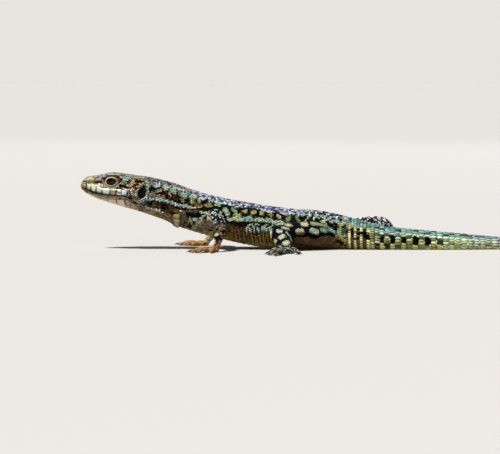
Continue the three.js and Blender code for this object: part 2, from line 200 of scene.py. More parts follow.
def node_middle(name):
    """The middle of a node's box, in millimetres from the snout."""
    low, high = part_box(name)
    return (np.array((low + high) / 2) - np.array(snout)) / MM


# %% [markdown]
# ## The legs
# A limb is two straight bones with a rounded joint, and a thickness for each share of its length.
# A foot is a flattened ball for the palm, a small ball for the heel and five digits, each an arch
# from inside the palm to its tip. These are the same sizes as the solids have, so that each claw
# is where its node says.

# %% Sizes of the legs
BEND = 0.3
ARM = np.array([[0, 1.6], [0.25, 1.35], [0.5, 1.15], [0.68, 1.08], [0.85, 0.85], [1, 0.72]])
LEG = np.array([[0, 2.6], [0.28, 2.45], [0.58, 1.95], [0.76, 1.8], [1, 0.95]])
FINGERS = [  # length, spread in degrees, how far along the palm it starts
    (2.1, -42, 0.75), (3.2, -18, 0.95), (4.2, 2, 1), (4.3, 22, 0.95), (3.0, 56, 0.7),
]
TOES = [(2.3, -30, 0.8), (3.7, -13, 0.95), (5.3, 0, 1), (7.2, 14, 1), (4.2, 58, 0.45)]
HAND = {
    "palm": 1.9, "width": 1.15, "depth": 0.62, "wrist": 0.78, "digit": 0.46, "tip": 0.34,
    "arch": 0.3, "digits": FINGERS,
}
FOOT = {
    "palm": 3.4, "width": 1.3, "depth": 0.7, "wrist": 0.98, "digit": 0.5, "tip": 0.35,
    "arch": 0.45, "digits": TOES,
}
LIMBS = [
    {
        "name": "front_left", "side": LEFT, "heading": 28, "thickness": ARM, "foot": HAND,
        "points": [[29.4, -2.4, 7.9], [31.1, -8.3, 5.2], [29.8, -11.0, 0.9]],
    },
    {
        "name": "front_right", "side": RIGHT, "heading": 12, "thickness": ARM, "foot": HAND,
        "points": [[28.6, 4.0, 7.9], [30.6, 9.6, 5.0], [27.3, 11.8, 0.9]],
    },
    {
        "name": "hind_left", "side": LEFT, "heading": 62, "thickness": LEG, "foot": FOOT,
        "points": [[53.8, -1.4, 3.0], [42.6, -9.2, 4.6], [45.2, -14.6, 1.0]],
    },
    {
        "name": "hind_right", "side": RIGHT, "heading": 75, "thickness": LEG, "foot": FOOT,
        "points": [[54.6, 2.0, 2.7], [66.0, 8.0, 5.3], [68.9, 13.2, 1.0]],
    },
]
print("legs:", [leg["name"] for leg in LIMBS])


# %% Middle lines of the limbs and digits
def bent(start, turn, end, count):
    """A curve from start to end that leaves and arrives on the way to a turning point."""
    t = np.linspace(0, 1, count)[:, None]
    return (1 - t) ** 2 * start + 2 * t * (1 - t) * turn + t**2 * end


def evenly(line, count):
    """The points of a line, spaced evenly along it."""
    lengths = np.r_[0, np.cumsum(np.linalg.norm(np.diff(line, axis=0), axis=1))]
    at = np.linspace(0, lengths[-1], count)
    return np.stack([np.interp(at, lengths, line[:, k]) for k in range(3)], -1)


def limb_line(limb, count=121):
    root, joint, end = np.array(limb["points"])
    before = root + (joint - root) * (1 - BEND)
    after = joint + (end - joint) * BEND
    return evenly(np.vstack([root, bent(before, joint, after, 60), end]), count)


def level_way(degrees, side):
    turn = math.radians(degrees)
    return np.array([-math.cos(turn), side * math.sin(turn), 0])


def through(points, count=24):
    """A smooth line through a few points, whose bends keep to the spacing of the points."""
    ends = [2 * points[0] - points[1], *points, 2 * points[-1] - points[-2]]
    t = np.linspace(0, 1, count)[:, None]
    line = []
    for p0, p1, p2, p3 in zip(ends, ends[1:], ends[2:], ends[3:]):
        gaps = [math.sqrt(np.linalg.norm(b - a)) for a, b in ((p0, p1), (p1, p2), (p2, p3))]
        leave = (p1 - p0) / gaps[0] - (p2 - p0) / (gaps[0] + gaps[1]) + (p2 - p1) / gaps[1]
        arrive = (p2 - p1) / gaps[1] - (p3 - p1) / (gaps[1] + gaps[2]) + (p3 - p2) / gaps[2]
        leave, arrive = leave * gaps[1], arrive * gaps[1]
        rise = (2 * t**3 - 3 * t**2 + 1) * p1 + (3 * t**2 - 2 * t**3) * p2
        line.append(rise + (t**3 - 2 * t**2 + t) * leave + (t**3 - t**2) * arrive)
    return np.vstack(line)


def digit_line(limb, digit, count=41):
    """The middle line of a digit from inside the palm to its tip, and the way it points."""
    length, spread, start = digit
    foot, side = limb["foot"], limb["side"]
    way = level_way(limb["heading"] + spread, side)
    bone = level_way(limb["heading"] + spread * 0.6, side)
    heel = np.array([*limb["points"][2][:2], foot["digit"]])
    inside = heel + bone * foot["palm"] * (start - 0.3)
    root = heel + bone * foot["palm"] * start
    arch = root + way * length * 0.45 + np.array([0, 0, foot["arch"]])
    tip = root + way * length
    tip[2] = foot["tip"] - 0.05
    return evenly(through([inside, root, arch, tip]), count), way


def palm_middle(limb):
    foot = limb["foot"]
    ahead = level_way(limb["heading"] + 4, limb["side"])
    middle = np.array([*limb["points"][2][:2], foot["depth"] - 0.08]) + ahead * foot["palm"] * 0.5
    return middle, ahead


for limb in LIMBS:
    limb["line"] = limb_line(limb)
    limb["digit_lines"] = [digit_line(limb, digit) for digit in limb["foot"]["digits"]]
    print(limb["name"], "runs from", limb["line"][0], "to", limb["line"][-1])

# %% [markdown]
# ## One skin
# Under its scales a lizard has one unbroken skin. Each part starts as a flat grid that is rolled
# into a tube by its rule, a little thinner than the solid, by the height of the scales. A voxel
# remesh then melts the tubes and the palms into one closed surface, and a light smoothing takes
# away its steps. A remesh suits this better than joining with booleans, because every seam between
# a limb and the body becomes a soft fold.

# %% Roll grids into tubes
def arrays(bm):
    """The points and faces of a bmesh, which is then freed."""
    bm.verts.index_update()
    points = np.array([vert.co for vert in bm.verts])
    faces = [[vert.index for vert in face.verts] for face in bm.faces]
    bm.free()
    return points, faces


# how far the skin lies under the solid's surface, and the size of the remesh's cubes
COAT = 0.09
SKIN_VOXEL = 0.22
# rings and points round a ring
BODY_GRID, LIMB_GRID, DIGIT_GRID = (420, 56), (40, 20), (20, 12)
# above 1, rings lie closer together towards the snout
RING_CROWDING = 1.35


def tube(bm, rings, sides, place):
    """Roll a grid into a closed tube: place(t, angle) says where its points go."""
    verts = bmesh.ops.create_grid(bm, x_segments=rings, y_segments=sides, size=1)["verts"]
    flat = np.array([vert.co for vert in verts])
    spots = place((flat[:, 0] + 1) / 2, (flat[:, 1] + 1) * math.pi)
    for vert, spot in zip(verts, spots):
        vert.co = spot
    bmesh.ops.remove_doubles(bm, verts=verts, dist=1e-4)
    alive = [vert for vert in verts if vert.is_valid]
    edges = {edge for vert in alive for edge in vert.link_edges if edge.is_boundary}
    bmesh.ops.holes_fill(bm, edges=list(edges))


def round_line(line, radius_at, flatness=1.0):
    """A rule for a tube round a line: the radius depends on the share of its length."""
    tangents = np.gradient(line, axis=0)
    shares = np.linspace(0, 1, len(line))

    def place(t, angle):
        centre = np.stack([np.interp(t, shares, line[:, k]) for k in range(3)], -1)
        tangent = np.stack([np.interp(t, shares, tangents[:, k]) for k in range(3)], -1)
        tangent /= np.linalg.norm(tangent, axis=1)[:, None]
        aside = np.cross(tangent, [0, 0, 1.0])
        aside /= np.linalg.norm(aside, axis=1)[:, None] + 1e-9
        upright = np.cross(aside, tangent)
        radius = radius_at(t)[:, None]
        round_it = aside * np.sin(angle)[:, None] * flatness + upright * np.cos(angle)[:, None]
        return centre + round_it * radius

    return place


def digit_radius(foot, t):
    return foot["digit"] + (foot["tip"] - foot["digit"]) * t**2


def whole_body():
    """Tubes for the trunk, limbs and digits, and balls for the palms and heels."""
    bm = bmesh.new()
    start, end = SNOUT_TIP + 0.02, TAIL_TIP - 0.02

    def trunk(t, angle):
        return body_point(start + (end - start) * t**RING_CROWDING, angle, -COAT)

    tube(bm, *BODY_GRID, trunk)
    for limb in LIMBS:
        table, foot = limb["thickness"], limb["foot"]
        tube(bm, *LIMB_GRID, round_line(limb["line"], lambda t: along(table, 1, t) - COAT))
        middle, ahead = palm_middle(limb)
        sizes = [foot["palm"] * 0.62 - COAT, foot["width"] - COAT, foot["depth"] - COAT]
        palm = bmesh.ops.create_uvsphere(bm, u_segments=24, v_segments=16, radius=1)["verts"]
        turn = math.atan2(ahead[1], ahead[0])
        bmesh.ops.scale(bm, verts=palm, vec=sizes)
        bmesh.ops.rotate(bm, verts=palm, cent=(0, 0, 0), matrix=Matrix.Rotation(turn, 3, "Z"))
        bmesh.ops.translate(bm, verts=palm, vec=middle)
        heel = np.array([*limb["points"][2][:2], foot["wrist"] - 0.08])
        wrist = foot["wrist"] - COAT
        ball = bmesh.ops.create_uvsphere(bm, u_segments=20, v_segments=12, radius=wrist)["verts"]
        bmesh.ops.translate(bm, verts=ball, vec=heel)
        for line, _ in limb["digit_lines"]:
            thin = COAT * 0.6
            tube(bm, *DIGIT_GRID, round_line(line, lambda t: digit_radius(foot, t) - thin))
    return bm


print("the trunk is a tube of", BODY_GRID[0], "rings of", BODY_GRID[1], "points")

# %% Melt them together
def finished_mesh(bm, name, modifiers):
    """The mesh that a stack of modifiers leaves."""
    mesh = bpy.data.meshes.new(name)
    bm.to_mesh(mesh)
    bm.free()
    holder = bpy.data.objects.new(name + "_holder", mesh)
    bpy.context.scene.collection.objects.link(holder)
    for kind, settings in modifiers:
        modifier = holder.modifiers.new(kind.lower(), kind)
        for key, value in settings.items():
            setattr(modifier, key, value)
    graph = bpy.context.evaluated_depsgraph_get()
    made = bpy.data.meshes.new_from_object(holder.evaluated_get(graph))
    bpy.data.objects.remove(holder)
    return made


def coordinates(mesh):
    flat = np.empty(len(mesh.vertices) * 3, np.float32)
    mesh.vertices.foreach_get("co", flat)
    return flat.reshape(-1, 3).astype(float)


skin_mesh = finished_mesh(whole_body(), "skin", [
    ("REMESH", {"mode": "VOXEL", "voxel_size": SKIN_VOXEL}),
    ("SMOOTH", {"factor": 0.5, "iterations": 4}),
])
print("skin:", len(skin_mesh.vertices), "points,", len(skin_mesh.polygons), "faces")

# %% [markdown]
# ## Where a point of the skin belongs
# The markings need to know where they are: how far along the spine and how high on the flank, or
# how far down a leg. Each point is given to the part whose middle line it is nearest to, less that
# part's thickness.

# %% Find the part and the place on it
def on_spine(points):
    """Distance along the spine and distance out to the right of it."""
    x = points[:, 0].copy()
    for _ in range(4):
        way = across(x)
        out = (points[:, 0] - x) * way[:, 0] + (points[:, 1] - sideways(x)) * way[:, 1]
        x = points[:, 0] - way[:, 0] * out
    return x, out


def column(name, x):
    names = ["back", "belly", "half", "level", "square_top", "square_belly"]
    return along(STATIONS, names.index(name) + 1, x)


def trunk_gap(x, out, z):
    """How far outside the trunk a point is, roughly; inside it is negative."""
    back, belly, half = column("back", x), column("belly", x), column("half", x)
    level = belly + (back - belly) * column("level", x)
    reach = np.where(z > level, back - level, level - belly)
    share = np.hypot(out / half, (z - level) / reach)
    return (share - 1) * np.minimum(half, reach)


def samples_of_limb(limb):
    """Points down a limb, with their radius and share: 1 is the wrist and 2 a digit's tip."""
    foot = limb["foot"]
    shares = np.linspace(0, 1, len(limb["line"]))
    rows = [np.c_[limb["line"], along(limb["thickness"], 1, shares), shares]]
    middle, ahead = palm_middle(limb)
    for step in np.linspace(-0.55, 0.6, 7):
        spot = middle + ahead * foot["palm"] * step
        rows.append([[*spot, foot["depth"] * 1.25, 1.15]])
    for line, _ in limb["digit_lines"]:
        t = np.linspace(0, 1, len(line))
        rows.append(np.c_[line, digit_radius(foot, t), 1.3 + 0.7 * t])
    return np.vstack(rows)


def nearest_of(points, centres):
    tree = KDTree(len(centres))
    for i, centre in enumerate(centres):
        tree.insert(centre, i)
    tree.balance()
    return np.array([tree.find(point)[1:] for point in points]).reshape(-1, 2)


def locate(points):
    """Part (0 trunk, 1 to 4 the limbs), distance along, distance out and share down the limb."""
    x, out = on_spine(points)
    best = trunk_gap(x, out, points[:, 2])
    part = np.zeros(len(points), int)
    share = np.zeros(len(points))
    for number, limb in enumerate(LIMBS, 1):
        near = np.abs(points[:, 0] - limb["points"][1][0]) < 16
        chosen = np.flatnonzero(near & (points[:, 1] * limb["side"] > 0))
        rows = samples_of_limb(limb)
        found = nearest_of(points[chosen], rows[:, :3])
        which = found[:, 0].astype(int)
        gap = found[:, 1] - rows[which, 3]
        closer = gap < best[chosen]
        best[chosen[closer]] = gap[closer]
        part[chosen[closer]] = number
        share[chosen[closer]] = rows[which[closer], 4]
    return {"part": part, "x": x, "out": out, "z": points[:, 2], "share": share}


# %% [markdown]
# ## Shaping the skin's openings
# The remeshed skin is smooth, so the hollows are pressed into it: the eye sockets, the ear openings
# and the line of the mouth. Each is a smooth push along the direction across the head, whose depth
# fades out at the rim.

# %% Press in the sockets, the ears and the mouth
EAR = {"x": 13.6, "z": 12.4, "long": 0.9, "high": 1.38, "lean": 0.25}
NOSTRIL = {"x": 1.12, "z": 14.82, "radius": 0.24}
SOCKET = {"long": 1.5, "high": 1.2}
EAR_DEEP, SOCKET_DEEP, LIPS_DEEP, NOSTRIL_DEEP = 0.9, 1.15, 0.2, 0.32
MOUTH = np.array([
    [-1, 13.6], [0.7, 13.45], [1.8, 12.95], [3.2, 12.4], [5.0, 12.05], [7.3, 11.8],
    [9.6, 11.72], [10.5, 11.45], [11.3, 11.0],
])


def fade(value, start, end):
    t = np.clip((value - start) / (end - start), 0, 1)
    return t * t * (3 - 2 * t)


def mouth_height(x):
    return np.interp(x, MOUTH[:, 0], MOUTH[:, 1])


def ear_distance(x, z):
    """1 on the rim of the ear opening, which leans back at its top."""
    along_it, up = x - EAR["x"], z - EAR["z"]
    lean = EAR["lean"]
    turned_x = along_it * math.cos(lean) - up * math.sin(lean)
    turned_z = along_it * math.sin(lean) + up * math.cos(lean)
    return np.hypot(turned_x / EAR["long"], turned_z / EAR["high"])


def nostril_distance(x, z):
    return np.hypot(x - NOSTRIL["x"], z - NOSTRIL["z"]) / NOSTRIL["radius"]


def eye_distance(x, z):
    return np.hypot((x - EYE["x"]) / SOCKET["long"], (z - EYE["z"]) / SOCKET["high"])


def press_openings(points):
    """Push the skin inwards, across the head, where it has an opening."""
    x, out = on_spine(points)
    side = np.sign(out)
    z = points[:, 2]
    steep = fade(np.abs(out) / column("half", x), 0.35, 0.6)
    ear = EAR_DEEP * fade(1.12 - ear_distance(x, z), 0, 0.3) * steep
    socket = SOCKET_DEEP * fade(1.25 - eye_distance(x, z), 0, 0.5) * steep
    lips = LIPS_DEEP * bell(z - mouth_height(x), 0.16) * fade(11.6 - x, 0, 0.8) * fade(x, 0.6, 1.4)
    nostril = NOSTRIL_DEEP * fade(1.2 - nostril_distance(x, z), 0, 0.8) * steep
    push = ear + socket + nostril + lips * steep
    moved = points - across(x) * (side * push)[:, None]
    moved[:, 2] = np.maximum(moved[:, 2], 0.0)
    return moved


skin_points = press_openings(coordinates(skin_mesh))
skin_mesh.vertices.foreach_set("co", skin_points.ravel())
skin_mesh.update()
skin_tree = BVHTree.FromPolygons(
    skin_points.tolist(), [polygon.vertices[:] for polygon in skin_mesh.polygons]
)
skin_place = locate(skin_points)
for number, name in enumerate(["trunk"] + [limb["name"] for limb in LIMBS]):
    print(name, "has", int((skin_place["part"] == number).sum()), "points of the skin")

# %% [markdown]
# ## Markings
# This animal wears rows of pale blotches on black along its flanks, a speckled back, ringed spots on
# its hind legs and black blocks on every other ring of its tail. One rule gives the colour of any
# point, and both the skin and each scale ask it, so that their markings agree. A blotch is a short
# stroke with a half width and a colour name, and a little noise frays its edge. A shader could
# mix such masks too, but it would split a scale between two colours, and a real scale has one.

# %% A paint box and the brushes
def srgb(red, green, blue):
    share = np.array([red, green, blue]) / 255
    return np.where(share <= 0.04045, share / 12.92, ((share + 0.055) / 1.055) ** 2.4)


PAINT = {
    "black": (4, 4, 5), "ink": (18, 22, 32), "navy": (30, 36, 74), "violet": (88, 94, 166),
    "purple": (104, 74, 122), "lilac": (158, 154, 176), "pink": (180, 154, 162),
    "frost": (172, 192, 194), "sky": (156, 178, 212), "white": (228, 232, 222),
    "pearl": (208, 214, 184), "cream": (216, 208, 166), "mint": (166, 184, 158),
    "turquoise": (138, 168, 152), "aqua": (110, 160, 150), "teal": (84, 132, 128),
    "sage": (140, 158, 120), "green": (118, 142, 100), "lime": (150, 155, 88),
    "lemon": (196, 198, 112), "olive": (112, 102, 34), "moss": (84, 84, 46),
    "ochre": (136, 116, 54), "brown": (88, 62, 30), "umber": (42, 28, 15), "rust": (98, 74, 50),
    "tan": (132, 108, 74), "drab": (122, 112, 92), "sand": (172, 154, 114), "taupe": (98, 84, 66),
    "grey": (142, 148, 144), "slate": (84, 92, 102), "orange": (206, 134, 70),
    "throat": (204, 184, 164), "blush": (194, 150, 122),
    "iris": (30, 17, 9), "amber": (70, 38, 16), "gold": (190, 130, 50), "pupil": (3, 3, 4),
    "eyeball": (14, 9, 7), "drum": (8, 5, 4), "drum_edge": (36, 17, 10), "horn": (46, 34, 26),
    "horn_tip": (120, 98, 74),
}
PAINT = {name: srgb(*light) for name, light in PAINT.items()}
print("colours in the paint box:", len(PAINT))


def painter(colours):
    """A brush that lays a colour over the given ones, as far as a mask says."""
    def lay(mask, name):
        mask = np.clip(mask, 0, 1)[..., None]
        colours[:] = colours * (1 - mask) + PAINT[name] * mask

    return lay


def undercoat(points, name):
    """One colour on every point, and the brush that paints over it."""
    colours = np.tile(PAINT[name], (len(points), 1))
    return colours, painter(colours)


def stroke(x, z, half, line, soft=0.55):
    """A line of the given half width through the given places. A short one is a blotch."""
    nearest = np.full(len(x), np.inf)
    for (ax, az), (bx, bz) in zip(line, line[1:] or line):
        long = (bx - ax) ** 2 + (bz - az) ** 2 + 1e-9
        t = np.clip(((x - ax) * (bx - ax) + (z - az) * (bz - az)) / long, 0, 1)
        nearest = np.minimum(nearest, np.hypot(x - ax - t * (bx - ax), z - az - t * (bz - az)))
    return np.clip((1 - nearest / half) / soft + 0.5, 0, 1)


def lay_marks(lay, x, z, marks, where=1.0):
    for name, half, *places in marks:
        lay(stroke(x, z, half, list(zip(places[::2], places[1::2]))) * where, name)


# %% Noise, cells and ripples
def fray(points, size, seed):
    """Noise between -1 and 1, in lumps of about the given size."""
    start = Vector((seed * 17.3, seed * 5.1, seed * 9.7))
    return np.array([noise.noise(Vector(point) / size + start) for point in points.tolist()])


def cells(points, size, seed=0):
    """0 on the borders of irregular cells, rising towards their middles."""
    start = Vector((seed * 3.3, seed * 7.1, seed * 1.7))
    gaps = []
    for point in points.tolist():
        near = noise.voronoi(Vector(point) / size + start)[0]
        gaps.append(near[1] - near[0])
    return np.array(gaps)


def ripple(distance, period):
    """1 at every whole period and -1 between them."""
    return np.cos(2 * math.pi * distance / period)


def line_height(x, points):
    xs, zs = zip(*points)
    return np.interp(x, xs, zs)


print("noise at the eye:", round(float(fray(np.array([[EYE["x"], 0, EYE["z"]]]), 1, 1)[0]), 3))


# %% [markdown]
# ## Where the whorls of the tail are
# The tail's scales stand in rings, called whorls, and every other whorl carries a black block. So
# the paint must know where each ring starts. A typed list of places would hardly meet the tip, so
# a loop adds whorl after whorl, each as long as a curve says, until the tail ends.

# %% Whorls of the tail
# distance along the body, and how long a whorl is there
WHORL_LENGTHS = np.array([
    [56, 0.55], [61, 0.65], [63, 0.9], [66, 1.1], [69, 1.22], [73, 1.3], [95, 1.34],
    [120, 1.1], [150, 0.85], [172, 0.7],
])
TAIL_FROM = 58.6
BLOCKED_WHORL_AT = 70.3


def whorl_edges():
    edges = [TAIL_FROM]
    while edges[-1] < TAIL_TIP - 0.5:
        edges.append(edges[-1] + float(np.interp(edges[-1], *WHORL_LENGTHS.T)))
    return np.array(edges[:-1] + [TAIL_TIP - 0.3])


WHORLS = whorl_edges()
FIRST_BLOCK = int(np.searchsorted(WHORLS, BLOCKED_WHORL_AT)) % 2
print("the tail has", len(WHORLS) - 1, "whorls of scales")

# %% [markdown]
# ## Where the marks are
# On the flank most marks are patches of a few scales in one colour. Such marks could be painted on
# an image by hand. Here each is a line in a table instead: its colour, its half width in
# millimetres and the places, distance and height, that its stroke goes through. They are laid in
# this order, and a later one covers an earlier one.

# %% Marks of the neck and chest
EAR_RIM = [14.5, 15, 14.85, 14.6, 14.98, 13.6, 14.92, 12.4, 14.5, 11.5, 14.05, 11.05, 13.4, 10.7,
           12.8, 10.45]
NECK_MARKS = [
    ("black", 0.65, 18.4, 13.4, 18.7, 13), ("black", 0.85, 20.1, 12.6, 20.6, 12.4),
    ("black", 0.85, 22.4, 11.8, 22.9, 11.5), ("black", 0.8, 24.3, 11.4, 24.9, 10.9),
    ("black", 0.6, 26.1, 11, 26.9, 11), ("black", 0.6, 16.6, 13.8, 17.2, 13.6),
    ("turquoise", 0.36, *EAR_RIM), ("frost", 0.27, *EAR_RIM),
    ("drab", 0.4, 15.5, 14.2, 15.9, 14.3), ("black", 0.3, 15.2, 13.2, 16.4, 13.2),
    ("drab", 0.5, 15.1, 12.1, 16, 11.9), ("drab", 0.38, 17, 11.6, 18.1, 11.5),
    ("frost", 0.34, 16.3, 13.95, 17.2, 13.9), ("sand", 0.3, 16.8, 12.7, 17.5, 12.9),
    ("brown", 0.2, 15.8, 12.9, 16.3, 12.8), ("mint", 0.45, 18.4, 13.5, 18.65, 13.2),
    ("cream", 0.2, 19.1, 13.45, 19.3, 13.3), ("tan", 0.2, 19.5, 13.1, 19.35, 12.4),
    ("turquoise", 0.5, 20.1, 12.75, 20.5, 12.7), ("tan", 0.32, 19.4, 12.1, 19.6, 11.9),
    ("brown", 0.22, 19.3, 11.1, 20.3, 11.15), ("brown", 0.2, 20.4, 11.9, 20.9, 11.8),
    ("frost", 0.35, 21.2, 13.4, 21.8, 13.2), ("sand", 0.3, 21.5, 12.75, 21.6, 12.3),
    ("turquoise", 0.6, 22.4, 11.95, 22.85, 11.75), ("tan", 0.36, 22.2, 11, 22.3, 10.6),
    ("ochre", 0.26, 22.3, 10.4, 22.5, 10.3), ("grey", 0.42, 23.3, 12.6, 23.7, 12.3),
    ("mint", 0.52, 24.2, 11.5, 24.9, 11.45), ("lime", 0.52, 24.3, 10.8, 24.4, 10.4),
    ("frost", 0.38, 26.1, 11, 26.9, 11.1), ("sand", 0.3, 25.75, 10.8, 25.85, 10.4),
    ("black", 0.16, 26.4, 10.15, 28, 10.2), ("tan", 0.28, 25.1, 9.6, 25.6, 9.75),
    ("sand", 0.14, 24.8, 9, 25.8, 9.2, 26.7, 9.6), ("lime", 0.42, 27.4, 9.6, 28.3, 9.65),
    ("sage", 0.26, 29.5, 9.75, 30.4, 9.5), ("frost", 0.16, 27.8, 10.55, 29.3, 10.4, 30.8, 10.1),
    ("black", 0.3, 15.3, 10.35, 15.55, 9.8), ("black", 0.42, 18.15, 9.7, 18.3, 9.15),
    ("black", 0.12, 16.2, 9.3, 17.8, 9.15), ("black", 0.4, 20, 8.3, 20.1, 7.9),
    ("black", 0.36, 13.9, 9.95, 14.4, 9.7), ("black", 0.18, 16.8, 10.7, 17.2, 10.6),
    ("black", 0.16, 20.9, 9.35, 21.9, 9.1), ("black", 0.14, 14.6, 8.6, 14.7, 8.6),
]
CHEST_MARKS = [
    ("rust", 0.3, 23.3, 8.5, 25.3, 8.4), ("black", 0.55, 23.4, 7.5, 26.3, 7.6),
    ("black", 0.4, 26.2, 8.9, 28.2, 8.8), ("mint", 0.2, 25.8, 8.2, 27.4, 8.05),
    ("tan", 0.3, 27.2, 7.4, 27.6, 6.6), ("cream", 0.12, 27.5, 7.5, 27.6, 6.7),
    ("mint", 0.18, 26, 6.9, 27.2, 7.7, 28.5, 8.6), ("mint", 0.24, 28.8, 9, 29.3, 9),
    ("mint", 0.2, 23.8, 6.9, 24, 6.1, 24.7, 5.4), ("mint", 0.3, 24.5, 6.7, 25.2, 6.6),
    ("mint", 0.3, 26.1, 6.8, 26, 6.1, 25.2, 5.6), ("black", 0.2, 24.4, 6.1, 24.7, 5.6),
    ("umber", 0.1, 23, 6.2, 23.9, 4.7), ("umber", 0.1, 23.5, 6.4, 24.6, 4.7),
    ("umber", 0.1, 22.9, 5.4, 23.3, 4.6), ("umber", 0.1, 26, 4.3, 28.6, 4.25),
    # the dark taupe face behind the collar is painted shade on its fold, and the pearl and sand along
    # its front edge a painted highlight
    ("taupe", 0.62, 22.25, 8.1, 22.2, 5.3), ("pearl", 0.2, 21.1, 7.8, 21.5, 8.15, 21.9, 8.4),
    ("sand", 0.24, 21.25, 7.4, 21.25, 5.2),
]
print("marks on the neck and chest:", len(NECK_MARKS) + len(CHEST_MARKS))

# %% Marks of the flank and hip
FLANK_MARKS = [
    ("sage", 0.26, 32, 6.6, 36, 6.5, 40, 6.3, 44.2, 6), ("tan", 0.4, 31.2, 5.6, 31.4, 4.8),
    ("mint", 0.55, 31.5, 8.5, 31.9, 7.9), ("sage", 0.4, 33.2, 8.8, 33.9, 8.4),
    ("lime", 0.46, 33.8, 7.5, 34.7, 7.3), ("mint", 0.3, 33.6, 7, 34.8, 6.9),
    ("lime", 0.4, 35.6, 8.2, 36.1, 8.3), ("lime", 0.36, 37.5, 7.9, 38.1, 8),
    ("lime", 0.4, 39.4, 7.9, 40, 7.9), ("ochre", 0.3, 41.4, 7.6, 41.8, 7.4),
    ("sand", 0.3, 43.2, 7.3, 43.6, 6.9), ("tan", 0.2, 44.6, 7.4, 45.6, 7.4),
    ("green", 0.46, 45.3, 6.5, 45.9, 6.9), ("green", 0.36, 47.4, 7, 47.8, 6.3),
    ("mint", 0.34, 32.1, 6.65, 34, 6.7, 35.2, 6.6), ("turquoise", 0.5, 36, 6.7, 37.1, 6.8),
    ("aqua", 0.26, 36.4, 6.6, 36.9, 6.6), ("mint", 0.42, 38.5, 6.5, 39.7, 6.5),
    ("turquoise", 0.4, 40.8, 6.5, 41.8, 6.4), ("mint", 0.32, 42.4, 6, 44, 6),
    ("cream", 0.3, 44.9, 5.6, 46, 5.4), ("black", 0.3, 32, 9.25, 32.3, 9.1),
    ("black", 0.28, 32.6, 8.2, 32.8, 7.4), ("black", 0.36, 34.3, 8.8, 34.8, 8.5),
    ("black", 0.24, 35.4, 7.9, 35.7, 7.5), ("black", 0.24, 36.6, 8.2, 36.7, 7.8),
    ("black", 0.3, 38.6, 7.8, 38.8, 7.4), ("black", 0.2, 37.6, 7.3, 38.1, 7.1),
    ("black", 0.32, 40.4, 7.8, 40.7, 7.2), ("black", 0.16, 39.6, 7, 40.1, 6.9),
    ("black", 0.28, 42.4, 7.7, 42.6, 6.9), ("black", 0.28, 44.5, 7.2, 44.6, 6.6),
    ("black", 0.26, 46.6, 7.1, 46.7, 6.3), ("black", 0.22, 35.8, 5.8, 36.6, 5.75),
    ("black", 0.24, 39.5, 5.7, 40.2, 5.6),
]
HIP_MARKS = [
    ("turquoise", 0.3, 47.9, 7.4, 49, 7.5), ("lime", 0.28, 49.4, 6.2, 49.9, 6.9),
    ("mint", 0.3, 49.9, 6.9, 50.4, 7.4), ("mint", 0.3, 51, 6.3, 51.7, 7.4),
    ("mint", 0.28, 52.4, 6.9, 53.5, 7.1), ("mint", 0.32, 53, 6, 53.8, 6.5, 54.6, 6.8),
    ("turquoise", 0.34, 55, 6, 56.3, 6.3), ("mint", 0.36, 56.8, 5.8, 58, 6.1),
    ("lime", 0.42, 56.8, 5, 57.2, 5.5), ("black", 0.16, 57.2, 4.5, 58.3, 5.6),
    ("lime", 0.4, 58.4, 4.7, 59, 5.4), ("tan", 0.2, 53.9, 5.5, 54.1, 5.7),
    ("ochre", 0.16, 55.2, 5.3, 55.5, 5.2), ("sage", 0.26, 50.4, 5.7, 52, 5.5, 53.6, 5.1),
    ("cream", 0.32, 48.3, 5.65, 49.3, 5.55), ("black", 0.26, 46.2, 7.3, 46.9, 6.4),
    ("black", 0.32, 48.3, 7, 48.9, 6.4), ("black", 0.28, 50.2, 6.9, 50.9, 6.2),
    ("black", 0.16, 52.2, 7.1, 51.3, 5.8), ("black", 0.14, 52.8, 6.8, 52.3, 6.1, 52.6, 5.4),
    ("black", 0.12, 53.2, 6.7, 54.4, 6.95), ("black", 0.22, 53.4, 5.6, 53.7, 5.3),
    ("black", 0.26, 54.4, 5.9, 54.8, 5.3), ("black", 0.32, 55.9, 5.2, 56.3, 4.6),
    ("black", 0.18, 57.9, 5.4, 57.2, 4.5),
]
print("marks on the flank and hip:", len(FLANK_MARKS) + len(HIP_MARKS))

# %% Marks of the legs
THIGH_MARKS = [
    ("black", 0.34, 45.8, 4.2, 47, 3.4, 48.6, 3.3, 49.6, 3.6, 50.4, 3, 51.6, 2.95, 52.4, 3.5,
     54, 3.5, 55.2, 3.1),
    ("tan", 0.46, 47.3, 4.1, 48.3, 4.1), ("white", 0.3, 47.2, 4.5, 48.2, 4.5),
    ("pearl", 0.48, 50.4, 4.4, 51.4, 4), ("mint", 0.3, 50.6, 4.4, 51.3, 4.2),
    ("turquoise", 0.44, 52.6, 4.4, 53.3, 4.2), ("aqua", 0.44, 54.2, 4.4, 55, 4.2),
    ("sage", 0.42, 55.5, 3.9, 56.3, 3.5), ("cream", 0.3, 48.3, 5.65, 49.3, 5.55),
    ("sage", 0.26, 50.4, 5.7, 52, 5.5, 53.6, 5.1),
]
SHANK_MARKS = [
    ("pearl", 0.34, 43, 4.5, 43.6, 4.5), ("pearl", 0.4, 43.5, 3.2, 44.2, 3.5),
    ("pearl", 0.44, 44.4, 2, 45, 2.2), ("pearl", 0.32, 42.4, 2.1, 42.6, 2.6),
    ("pearl", 0.34, 43.2, 1.2, 43.6, 1.3), ("pearl", 0.16, 41.7, 5, 41.6, 4, 41.6, 2.2),
    ("pearl", 0.15, 44.8, 4.2, 45.5, 3.4, 46, 2.2), ("pearl", 0.2, 44, 5.2, 45.3, 4.8),
    ("pearl", 0.3, 45.5, 0.7, 45.8, 0.9), ("pearl", 0.3, 42, 0.8, 42.3, 1),
]
